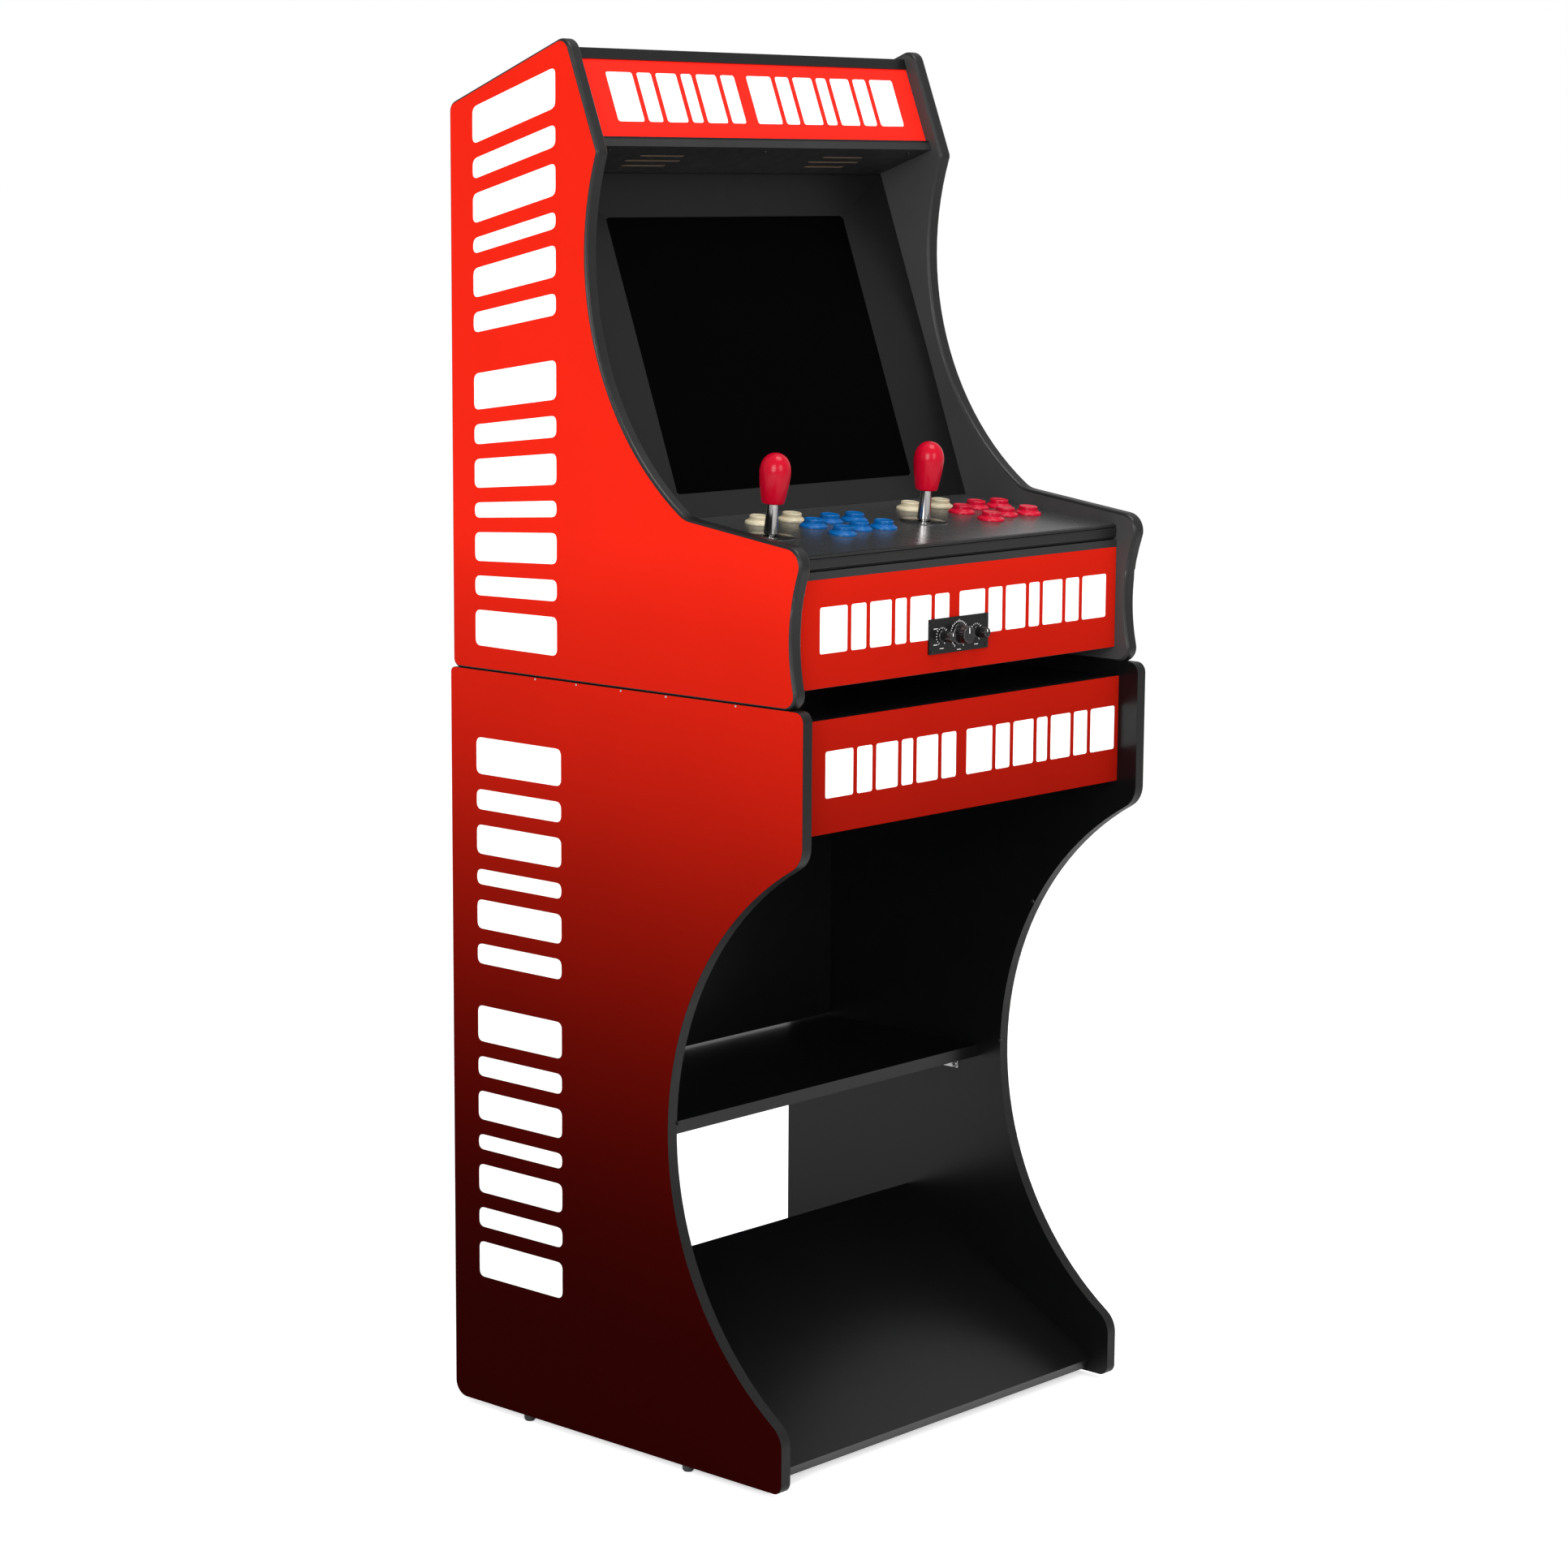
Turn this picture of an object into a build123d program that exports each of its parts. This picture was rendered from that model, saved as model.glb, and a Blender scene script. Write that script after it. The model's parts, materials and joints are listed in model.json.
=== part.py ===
"""Two-player arcade cabinet: a bartop game unit standing on its own matching stand.

Millimetres. While it is built, y is the depth behind the stand's front edge and z is the height
above the underside of the stand's side boards. The finished nodes are then moved so that the
origin is the centre of the footprint, on the floor, with +Z up and the player's side facing -Y.
"""

from build123d import *

import os
from math import atan2, cos, degrees, hypot, radians, sin, sqrt, tan

# ---- driving dimensions ------------------------------------------------------------------

WIDTH = 620.0  # over the edge mouldings
DEPTH = 565.0  # of the stand
BOARD = 15.0  # thickness of the laminated boards
BARTOP_SIDE = 19.0  # thickness of the bartop's side boards, as wide as their edge moulding
PROUD = 0.4  # how far the edge mouldings stand out beside the side boards' faces
GLIDE_HEIGHT = 8.0
GAP = 0.3  # air between a moving piece and what it moves in
PIN_PLAY = 0.05  # radial clearance of a pivot pin in its hole

SIDE_OUT = WIDTH / 2 - PROUD  # x of a side board's outer face
INNER = SIDE_OUT - BOARD  # x of the inner face of a side board of the stand
BARTOP_INNER = SIDE_OUT - BARTOP_SIDE  # and of the bartop

# stand: a straight front, a deep concave cut-out for the knees, and a short straight toe
STAND_TOP = 900.0
TOE_Y = 25.0
KNEE_Y, KNEE_Z, KNEE_R = -176.0, 393.5, 381.0  # centre and radius of the knee arc
STAND_NOSE_R = 30.0
TOE_R = 30.0
STAND_CORNER_R = 12.0
STAND_HEEL_R = 18.0

# bartop: bottom and back are straight, the rest follows the screen, the deck and the nose
BARTOP_BOTTOM = 903.0
BARTOP_BACK = 559.0
REAR_FACE = BARTOP_BACK - 3.0  # outer face of the rear service panel
BELLY_Y, BELLY_Z, BELLY_R = -218.4, 976.3, 240.5  # arc below the nose
NOSE = (0.9, 1075.0)  # the front corner and the elbow end the side boards' edge beside the deck
ELBOW = (181.0, 1099.1)
THROAT_Y, THROAT_Z, THROAT_R = -8.0, 1391.0, 347.0  # arc beside the screen
BROW_Z = 1504.9  # where the throat arc meets the marquee line
MARQUEE_TILT = 21.4  # degrees back from vertical, and the roof's fall to the back
CROWN_REACH = 136.9  # length of the marquee line, brow to crown
BARTOP_RADII = [14, 19, 38, 7, 12, 10, 8]  # chin, nose, elbow, brow, crown, eaves, heel
MOULDING_CROWN = 3.2  # how far the edge moulding stands out of the board
MOULDING_ROUND = 5.0

# control deck
DECK_FRONT_Y, DECK_FRONT_Z, DECK_SLOPE = 35.2, 1066.3, 5.45
DECK_LENGTH = 258.0
DECK_LIP = 3.0  # how far the front moulding stands ahead of the deck board
FRONT_Y = 33.2  # front face of the control panel's front board
FRONT_TOP = 1048.5

# screen and bezel
BEZEL_TILT = 20.35
BEZEL_MID_Y, BEZEL_MID_Z = 343.2, 1285.3
BEZEL_HEIGHT = 417.4
BEZEL_THICK = 14.0
SCREEN_DEPTH = 8.5  # how far the screen lies behind the bezel's rim
SCREEN_DROP = 9.6  # how far its centre lies below the bezel's
SCREEN_W, SCREEN_H = 415.0, 336.0

# stand boards
KICK_Y, KICK_BOTTOM, KICK_TOP = 28.7, 754.0, 883.0
TOP_SURFACE = 882.0  # the stand's top board lies below its side boards' top
BASE_BOTTOM = 918.0  # the bartop's base board lies above its side boards' foot
SHELF_TOP, SHELF_FRONT = 389.5, 242.0
REAR_Y, REAR_THICK = 493.0, 6.0  # front face and thickness of the stand's back panel
SHELF_BACK = 507.0  # rear edge of the shelf and of the stand's top board
SLIT_HEIGHT = 3.0  # how far the back panel's foot is above the shelf
FOOT_FRONT_Y, FOOT_FRONT_Z, FOOT_SLOPE, FOOT_LENGTH = 50.3, 17.1, 28.85, 350.5

# push buttons, measured from the deck's surface
RIM_R, RIM_EDGE, COLLAR_R, COLLAR_H = 16.0, 3.4, 12.9, 5.6
BARREL_R, BARREL_DEPTH = 13.8, 30.0
PLUNGER_R, PLUNGER_TOP, BUTTON_TRAVEL = 11.4, 10.2, 3.0
PLUNGER_LENGTH = 26.0
STEM_R = 4.0
NUT_R, NUT_H = 17.5, 7.0
SWITCH_TOP = 36.2  # depth of the microswitch below the deck's surface
SWITCH_SIZE = (20.0, 6.4, 15.0)

# joysticks, measured from the deck's surface
PIVOT_DEPTH = 9.0
WASHER_R, WASHER_BORE_R, WASHER_H = 29.0, 7.8, 1.2
CONE_LOW_R, CONE_TOP_R, CONE_FOOT, CONE_TOP = 8.0, 6.5, 3.6, 38.0
ROD_R = 5.0
BAT_R, BAT_BASE_R, BAT_LENGTH = 18.0, 13.0, 58.0
RING_OUT_R, RING_IN_R, RING_H = 14.0, 10.0, 6.0
PIVOT_PIN_R = 1.5
STICK_HOLE_R = 21.0
BASE_BORE_R = 8.8
ACTUATOR_R, ACTUATOR_TOP, ROD_BOTTOM = 8.0, 36.0, 46.0

PLAYER_PITCH = 268.0
STICK_AT = (-205.3, 111.3)
CREAM_AT = [(-150.5, 180.0), (-94.4, 180.0)]
FIRE_ORIGIN = (-102.6, 138.5)
FIRE_PATTERN = [(0, 0), (46.3, 16.1), (84, 11.1), (-6, -51), (40.3, -34.8), (78, -39.9)]

# amplifier in the front board
AMP_X, AMP_Z, AMP_W, AMP_H = -7.5, 959.6, 106.0, 40.8
AMP_DEPTH = 104.0
KNOB_PITCH = 31.0
KNOB_AXLE_R = 3.0


# ---- helpers -----------------------------------------------------------------------------


def block(x, y, z):
    """A box from its low and high x, y and z."""
    size = (x[1] - x[0], y[1] - y[0], z[1] - z[0])
    return Pos((x[0] + x[1]) / 2, (y[0] + y[1]) / 2, (z[0] + z[1]) / 2) * Box(*size)


def pipe(radius, low, high):
    """A cylinder along z from low to high."""
    return Pos(0, 0, (low + high) / 2) * Cylinder(radius, high - low)


def across(radius, low, high, axis):
    """A cylinder along X or Y from low to high, through the origin."""
    turn = Rot(0, 90, 0) if axis == "X" else Rot(-90, 0, 0)
    return turn * pipe(radius, low, high)


def turned(points):
    """A solid of revolution about z from (radius, height) points."""
    wire = Polyline(*[(r, 0, z) for r, z in points], close=True)
    return revolve(make_face(wire), Axis.Z)


def rounded(face, corners):
    """A flat face with a radius on each corner of a list of (point, radius)."""
    for point, radius in corners:
        nearest = face.vertices().sort_by_distance((point[0], point[1], 0))[0]
        face = fillet(nearest, radius)
    return face


def upright(face, low, high):
    """A (depth, height) outline stood up and extruded across the cabinet, from x low to high."""
    return Pos(low, 0, 0) * extrude(Plane.YZ * face, high - low)


def both_players(points):
    """Each point once for each player."""
    return [(x + p * PLAYER_PITCH, y) for p in (0, 1) for x, y in points]


def group(shapes):
    """Several separate solids that share one node."""
    solids = []
    for shape in shapes:
        solids.extend(shape.solids())
    return Compound(solids)


TO_FLOOR = Pos(0, -DEPTH / 2, GLIDE_HEIGHT)
DECK = Plane(
    origin=(0, DECK_FRONT_Y, DECK_FRONT_Z),
    x_dir=(1, 0, 0),
    z_dir=(0, -sin(radians(DECK_SLOPE)), cos(radians(DECK_SLOPE))),
).location
BEZEL = Plane(
    origin=(0, BEZEL_MID_Y, BEZEL_MID_Z),
    x_dir=(1, 0, 0),
    z_dir=(0, -cos(radians(BEZEL_TILT)), sin(radians(BEZEL_TILT))),
).location
FIRE_AT = [(FIRE_ORIGIN[0] + x, FIRE_ORIGIN[1] + y) for x, y in FIRE_PATTERN]
ALL_BUTTONS = both_players(FIRE_AT) + both_players(CREAM_AT)
ALL_STICKS = both_players([STICK_AT])


# ---- outlines of the side boards ---------------------------------------------------------


def stand_outline():
    nose_z = KNEE_Z + sqrt(KNEE_R**2 - KNEE_Y**2)
    toe_z = KNEE_Z - sqrt(KNEE_R**2 - (TOE_Y - KNEE_Y) ** 2)
    corners = [(TOE_Y, toe_z), (TOE_Y, 0), (DEPTH, 0), (DEPTH, STAND_TOP), (0, STAND_TOP)]
    straight = Polyline(*corners, (0, nose_z))
    knee = ThreePointArc((0, nose_z), (KNEE_Y + KNEE_R, KNEE_Z), (TOE_Y, toe_z))
    radii = [TOE_R, STAND_CORNER_R, STAND_HEEL_R, STAND_CORNER_R / 2, STAND_CORNER_R, STAND_NOSE_R]
    return rounded(make_face(straight + knee), list(zip([*corners, (0, nose_z)], radii)))


def arc_point(y, z, radius, angle):
    """A point on an arc, angle in degrees above straight back."""
    return (y + radius * cos(radians(angle)), z + radius * sin(radians(angle)))


LEAN = radians(MARQUEE_TILT)
BROW_Y = THROAT_Y + sqrt(THROAT_R**2 - (BROW_Z - THROAT_Z) ** 2)
# the crown is where the marquee line and the roof line meet
CROWN_Y = BROW_Y + CROWN_REACH * sin(LEAN)
CROWN_Z = BROW_Z + CROWN_REACH * cos(LEAN)


def roof_height(y):
    """Height of the side boards' roof line at a depth behind the crown."""
    return CROWN_Z - (y - CROWN_Y) * tan(LEAN)


def bartop_outline():
    chin = (BELLY_Y + sqrt(BELLY_R**2 - (BARTOP_BOTTOM - BELLY_Z) ** 2), BARTOP_BOTTOM)
    brow = (BROW_Y, BROW_Z)
    crown = (CROWN_Y, CROWN_Z)
    eaves = (BARTOP_BACK, roof_height(BARTOP_BACK))
    heel = (BARTOP_BACK, BARTOP_BOTTOM)
    belly = ThreePointArc(chin, (BELLY_Y + BELLY_R, BELLY_Z), NOSE)
    throat = ThreePointArc(ELBOW, arc_point(THROAT_Y, THROAT_Z, THROAT_R, -15), brow)
    edges = belly + Line(NOSE, ELBOW) + throat + Polyline(brow, crown, eaves, heel, chin)
    points = [chin, NOSE, ELBOW, brow, crown, eaves, heel]
    return rounded(make_face(edges), list(zip(points, BARTOP_RADII)))


# a frame on the crown: x across, y back and down along the roof, z out through the roof
ROOF = Plane(
    origin=(0, CROWN_Y, CROWN_Z),
    x_dir=(1, 0, 0),
    z_dir=(0, sin(LEAN), cos(LEAN)),
).location


# ---- the stand ---------------------------------------------------------------------------


def stand_sides():
    outline = stand_outline()
    return {
        "stand_side_left": upright(outline, -SIDE_OUT, -INNER),
        "stand_side_right": upright(outline, INNER, SIDE_OUT),
    }


JOIN_AT = [(x, y) for x in (-220, 220) for y in (215, 430)]
JOIN_R, JOIN_HEAD_R, JOIN_HEAD_H = 4.0, 7.5, 5.0
JOIN_KEY, JOIN_NUT_R, JOIN_NUT_H, JOIN_TAIL = 3.0, 7.5, 6.4, 8.0
SPACER_R = 10.0


def join_holes():
    return [Pos(x, y, STAND_TOP) * Cylinder(JOIN_R + PIN_PLAY, 160) for x, y in JOIN_AT]


def stand_boards():
    foot = Pos(0, FOOT_FRONT_Y, FOOT_FRONT_Z) * Rot(FOOT_SLOPE, 0, 0)
    return {
        "stand_top": block(
            (-INNER, INNER), (KICK_Y + BOARD, SHELF_BACK), (TOP_SURFACE - BOARD, TOP_SURFACE)
        )
        - join_holes(),
        "stand_kick_panel": block((-INNER, INNER), (KICK_Y, KICK_Y + BOARD), (KICK_BOTTOM, KICK_TOP)),
        "stand_back_panel": block(
            (-INNER, INNER),
            (REAR_Y, REAR_Y + REAR_THICK),
            (SHELF_TOP + SLIT_HEIGHT, TOP_SURFACE - BOARD),
        ),
        "stand_shelf": block(
            (-INNER, INNER), (SHELF_FRONT, SHELF_BACK), (SHELF_TOP - BOARD, SHELF_TOP)
        ),
        "stand_foot_board": foot * block((-INNER, INNER), (0, FOOT_LENGTH), (-BOARD, 0)),
    }


GLIDE_R, GLIDE_TOE_R, GLIDE_WALL = 7.0, 5.5, 5.5
GLIDES_Y = (178.0, 443.0)
BRACKETS_Y = (272.0, 445.0)


def stand_glides():
    """Nail-on glides under the side boards, a pair each side."""
    toe = [(GLIDE_R, -GLIDE_WALL), (GLIDE_TOE_R, -GLIDE_HEIGHT), (0, -GLIDE_HEIGHT)]
    glide = turned([(0, 0), (GLIDE_R, 0), *toe])
    middle = (SIDE_OUT + INNER) / 2
    return group([Pos(x, y, 0) * glide for x in (-middle, middle) for y in GLIDES_Y])


def shelf_brackets():
    """Steel angle brackets under the shelf, each with a screw into the shelf and the side."""
    width, leg, sheet = 30.0, 20.0, 2.0
    hole_at = leg * 0.55
    head = turned([(0, -1.6), (2.4, -1.6), (3.6, -0.4), (3.6, 0), (0, 0)])
    bracket = block((-leg, 0), (0, width), (-sheet, 0)) + block((-sheet, 0), (0, width), (-leg, 0))
    bracket += Pos(-hole_at, width / 2, -sheet) * head
    bracket += Pos(-sheet, width / 2, -hole_at) * Rot(0, 90, 0) * head
    right = Pos(INNER, 0, SHELF_TOP - BOARD) * bracket
    fitted = [Pos(0, y, 0) * right for y in BRACKETS_Y]
    return group(fitted + [mirror(piece, Plane.YZ) for piece in fitted])


def joining_bolts():
    """Bolts up through the stand's top board into the bartop's base board."""
    top = BASE_BOTTOM + BOARD
    head_z = TOP_SURFACE - BOARD
    bolt = pipe(JOIN_R, head_z, top + JOIN_TAIL)
    bolt += pipe(JOIN_HEAD_R, head_z - JOIN_HEAD_H, head_z)
    socket = Pos(0, 0, head_z - JOIN_HEAD_H) * extrude(RegularPolygon(JOIN_KEY, 6), JOIN_KEY)
    nut = Pos(0, 0, top) * extrude(RegularPolygon(JOIN_NUT_R, 6), JOIN_NUT_H)
    return group([Pos(x, y, 0) * (bolt - socket + nut) for x, y in JOIN_AT])


def joining_spacers():
    """Tubes round the bolts that carry the bartop clear of the stand."""
    tube = pipe(SPACER_R, TOP_SURFACE, BASE_BOTTOM) - pipe(JOIN_R + PIN_PLAY, 0, 2 * STAND_TOP)
    return group([Pos(x, y, 0) * tube for x, y in JOIN_AT])


# ---- the bartop's boards -----------------------------------------------------------------


def bartop_sides():
    outline = bartop_outline()
    return {
        "bartop_side_left": upright(outline, -SIDE_OUT, -BARTOP_INNER),
        "bartop_side_right": upright(outline, BARTOP_INNER, SIDE_OUT),
    }


def edge_mouldings():
    """Bulged plastic T-moulding all round each side board, pressed flatter along the seam."""
    outline = bartop_outline()
    plate = upright(offset(outline, MOULDING_CROWN), BARTOP_INNER, SIDE_OUT + PROUD)
    flanks = plate.faces().sort_by(Axis.X)
    right = fillet(flanks[0].edges() + flanks[-1].edges(), MOULDING_ROUND)
    right -= upright(outline, BARTOP_INNER - 1, WIDTH)
    right -= block((0, WIDTH), (-50, 600), (0, STAND_TOP + GAP))
    return group([right, mirror(right, Plane.YZ)])


def bartop_base():
    depth = (FRONT_Y + BOARD, REAR_FACE - BOARD)
    return block((-BARTOP_INNER, BARTOP_INNER), depth, (BASE_BOTTOM, BASE_BOTTOM + BOARD)) - join_holes()


ROOF_DROP = 3.0  # how far the roof board lies below the side boards' edge
ROOF_LENGTH = 202.0
MARQUEE_INSET = 14.6  # how far the marquee sheet lies behind the side boards' edge
MARQUEE_THICK = 4.0
ROOF_START = MARQUEE_INSET + MARQUEE_THICK


def bartop_top_panel():
    thickness = (-ROOF_DROP - BOARD, -ROOF_DROP)
    return ROOF * block((-BARTOP_INNER, BARTOP_INNER), (ROOF_START, ROOF_LENGTH), thickness)


INLET_X, INLET_Z, INLET_W, INLET_H = 215.0, 965.0, 27.0, 19.5
VENT_LENGTH, VENT_WIDTH, VENT_PITCH, VENT_X = 120.0, 8.0, 18, 140
VENT_LOW, VENT_HIGH = 1380, 1480
PANEL_GAP = 0.5


def rear_service_panel():
    """The removable back, with two banks of vent slots and the power inlet's opening."""
    top = roof_height(REAR_FACE) - (ROOF_DROP + BOARD) / cos(LEAN) - PANEL_GAP
    heights = (BARTOP_BOTTOM + PANEL_GAP, top)
    panel = block((-BARTOP_INNER, BARTOP_INNER), (REAR_FACE - BOARD, REAR_FACE), heights)
    slot = extrude(Plane.XZ * SlotOverall(VENT_LENGTH, VENT_WIDTH), 40, both=True)
    banks = [(x, z) for x in (-VENT_X, VENT_X) for z in range(VENT_LOW, VENT_HIGH, VENT_PITCH)]
    panel -= [Pos(x, REAR_FACE, z) * slot for x, z in banks]
    panel -= Pos(INLET_X, REAR_FACE, INLET_Z) * Box(INLET_W, 60, INLET_H)
    return panel


def power_inlet():
    """A three-pin mains inlet, its flange outside the rear panel and its body inside."""
    body = Box(INLET_W, 24, INLET_H)
    flange = Pos(0, 12 + 1.25, 0) * Box(48, 2.5, 23)
    cavity = Pos(0, 5, 0) * Box(21, 24, 14)
    pins = [Pos(x, 3, z) * Box(2, 12, 4) for x, z in ((-7, -1.5), (0, 2.5), (7, -1.5))]
    inlet = body + flange - cavity + pins
    return Pos(INLET_X, REAR_FACE - 12, INLET_Z) * inlet


# ---- marquee and speakers ----------------------------------------------------------------

MARQUEE_TOP, MARQUEE_FOOT = 11.0, 113.6  # the sheet's edges, down the marquee line
RETAINER = 2.0  # wall of the retaining strips


def marquee_panel():
    """An acrylic sheet between the two retainers."""
    depth = (MARQUEE_INSET, MARQUEE_INSET + MARQUEE_THICK)
    return ROOF * block((-BARTOP_INNER, BARTOP_INNER), depth, (-MARQUEE_FOOT, -MARQUEE_TOP))


def marquee_retainers():
    """Angle strips that hold the marquee sheet's top and bottom edges."""
    front = MARQUEE_INSET - RETAINER
    top = block((-BARTOP_INNER, BARTOP_INNER), (front, MARQUEE_INSET), (-MARQUEE_TOP - 7.1, -ROOF_DROP - 2))
    top += block((-BARTOP_INNER, BARTOP_INNER), (front, ROOF_START), (-ROOF_DROP - 4, -ROOF_DROP - 2))
    foot = block((-BARTOP_INNER, BARTOP_INNER), (1, 12), (SPEAKER_BOARD, SPEAKER_BOARD + RETAINER))
    foot += block((-BARTOP_INNER, BARTOP_INNER), (1, 5), (SPEAKER_BOARD, SPEAKER_BOARD + 1.5 * RETAINER))
    return group([ROOF * top, SOFFIT * foot])


def marquee_light():
    """A light batten behind the marquee: a channel with its diffuser."""
    channel = block((-250, 250), (62, 90), (-78, -58))
    hollow = block((-248, 248), (60, 86), (-76, -60))
    tube = Rot(0, 90, 0) * Cylinder(6, 480)
    return ROOF * group([channel - hollow, Pos(0, 76, -68) * tube])


SPEAKER_FRONT = (333.2, 1512.4)
SPEAKER_BACK = (419.6, 1481.2)
SPEAKER_X = 158.0
SOUND_SLOTS = [(31.0, 72.0), (47.5, 91.0), (64.0, 72.0)]  # depth on the board, and length
SLOT_WIDTH = 5.0
SPEAKER_BOARD = 9.0
SPEAKER_RUN = hypot(SPEAKER_BACK[0] - SPEAKER_FRONT[0], SPEAKER_BACK[1] - SPEAKER_FRONT[1])
SPEAKER_FALL = degrees(
    atan2(SPEAKER_FRONT[1] - SPEAKER_BACK[1], SPEAKER_BACK[0] - SPEAKER_FRONT[0])
)
# a frame on the speaker board's lower face: y runs back and down, z is up into the cabinet
SOFFIT = Pos(0, *SPEAKER_FRONT) * Rot(-SPEAKER_FALL, 0, 0)


def speaker_panel():
    """The board between marquee and screen, with a round of sound slots over each speaker."""
    board = block((-BARTOP_INNER, BARTOP_INNER), (0, SPEAKER_RUN), (0, SPEAKER_BOARD))
    for y, length in SOUND_SLOTS:
        slot = extrude(SlotOverall(length, SLOT_WIDTH), 40, both=True)
        board -= [Pos(x, y, 0) * slot for x in (-SPEAKER_X, SPEAKER_X)]
    return SOFFIT * board


def speakers():
    """Two full-range drivers: basket flange, cone housing and magnet."""
    driver = turned(
        [(0, 0), (33, 0), (33, 3), (30, 3), (20, 18), (17, 18), (17, 30), (0, 30)]
    )
    return group([SOFFIT * Pos(x, 47.5, SPEAKER_BOARD) * driver for x in (-SPEAKER_X, SPEAKER_X)])


# ---- screen ------------------------------------------------------------------------------


def below_deck():
    return DECK * block((-400, 400), (-50, 500), (-200, 0))


def above_soffit():
    return SOFFIT * block((-400, 400), (-50, 200), (0, 200))


def screen_bezel():
    """A mitred frame whose four facets slope in to the screen."""
    outer = extrude(Rectangle(2 * BARTOP_INNER, BEZEL_HEIGHT + 40), -BEZEL_THICK)
    rim = Rectangle(2 * BARTOP_INNER, BEZEL_HEIGHT)
    window = Pos(0, -SCREEN_DROP, -SCREEN_DEPTH) * Rectangle(SCREEN_W, SCREEN_H)
    opening = Pos(0, -SCREEN_DROP, 0) * Box(SCREEN_W, SCREEN_H, 100)
    frame = outer - loft([rim, window]) - opening
    return BEZEL * frame - below_deck() - above_soffit()


MONITOR_EDGE, MONITOR_THICK = 5.0, 42.0
RAIL_THICK = 18.0


def monitor():
    """A flat screen whose frame shows through the bezel's window."""
    face = -SCREEN_DEPTH - 0.4
    case = Pos(0, -SCREEN_DROP, 0) * block(
        (-SCREEN_W / 2, SCREEN_W / 2), (-SCREEN_H / 2, SCREEN_H / 2), (face - MONITOR_THICK, face)
    )
    wide = SCREEN_W / 2 + MONITOR_EDGE
    tall = SCREEN_H / 2 + MONITOR_EDGE
    case += Pos(0, -SCREEN_DROP, 0) * block(
        (-wide, wide), (-tall, tall), (-BEZEL_THICK - 18, -BEZEL_THICK)
    )
    return BEZEL * case


def monitor_rail():
    """A wooden rail between the sides with the plate that the monitor is screwed to."""
    back = -SCREEN_DEPTH - 0.4 - MONITOR_THICK
    plate = block((-60, 60), (-70, 50), (back - 2, back))
    rail = block((-BARTOP_INNER, BARTOP_INNER), (-45, 25), (back - 2 - RAIL_THICK, back - 2))
    return BEZEL * (plate + rail)


# ---- control deck ------------------------------------------------------------------------


def control_deck():
    board = block((-BARTOP_INNER, BARTOP_INNER), (DECK_LIP, DECK_LENGTH), (-BOARD, 0))
    board -= [Pos(x, y, 0) * Cylinder(BARREL_R + PIN_PLAY, 60) for x, y in ALL_BUTTONS]
    board -= [Pos(x, y, 0) * Cylinder(STICK_HOLE_R, 60) for x, y in ALL_STICKS]
    return DECK * board


def deck_moulding():
    """A bulged strip along the deck's front edge, with a fine lip level with the deck's top."""
    root = Pos(1.5, -8.4) * Rectangle(3.0, BOARD + 1.8)
    bead = Pos(0.3, -9.6) * RectangleRounded(5.4, 12.4, 2.6)
    lip = Pos(0.6, -1.6) * RectangleRounded(4.0, 3.2, 1.2)
    return DECK * upright(root + bead + lip, -BARTOP_INNER, BARTOP_INNER)


def control_front_panel():
    """The upright board below the deck, with the amplifier's opening."""
    board = block((-BARTOP_INNER, BARTOP_INNER), (FRONT_Y, FRONT_Y + BOARD), (BASE_BOTTOM, FRONT_TOP))
    return board - Pos(AMP_X, FRONT_Y, AMP_Z) * Box(AMP_W - 8, 80, AMP_H - 6)


# ---- push buttons ------------------------------------------------------------------------


def button_body():
    """The rim and threaded barrel, bored for the plunger, and the nut below the deck."""
    body = turned(
        [
            (PLUNGER_R + GAP, COLLAR_H),
            (COLLAR_R - 0.6, COLLAR_H),
            (COLLAR_R, COLLAR_H - 0.6),
            (COLLAR_R + 0.4, RIM_EDGE + 0.7),
            (RIM_R - 1.2, RIM_EDGE),
            (RIM_R, RIM_EDGE - 1.4),
            (RIM_R, 0),
            (BARREL_R, 0),
            (BARREL_R, -BARREL_DEPTH),
            (PLUNGER_R + GAP, -BARREL_DEPTH),
        ]
    )
    floor = pipe(BARREL_R - 0.4, -BARREL_DEPTH, -BARREL_DEPTH + 2) - pipe(STEM_R + GAP, -99, 99)
    nut = pipe(NUT_R, -BOARD - NUT_H, -BOARD) - pipe(BARREL_R + PIN_PLAY, -99, 99)
    return [body + floor, nut]


def button_bodies():
    pieces = button_body()
    return group([DECK * Pos(x, y, 0) * piece for x, y in ALL_BUTTONS for piece in pieces])


def button_switches():
    """A microswitch in its clip below each button's barrel."""
    wide, thick, tall = SWITCH_SIZE
    switch = block((-wide / 2, wide / 2), (-thick / 2, thick / 2), (-SWITCH_TOP - tall, -SWITCH_TOP))
    lugs = [block((x, x + 1), (-1.6, 1.6), (-SWITCH_TOP - tall - 6, -SWITCH_TOP - tall)) for x in (-8, 0, 7)]
    clip = block((-12, -10), (-5, 5), (-SWITCH_TOP - 8, -BARREL_DEPTH))
    clip += block((10, 12), (-5, 5), (-SWITCH_TOP - 8, -BARREL_DEPTH))
    assembly = switch + lugs + clip
    return group([DECK * Pos(x, y, 0) * assembly for x, y in ALL_BUTTONS])


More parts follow.
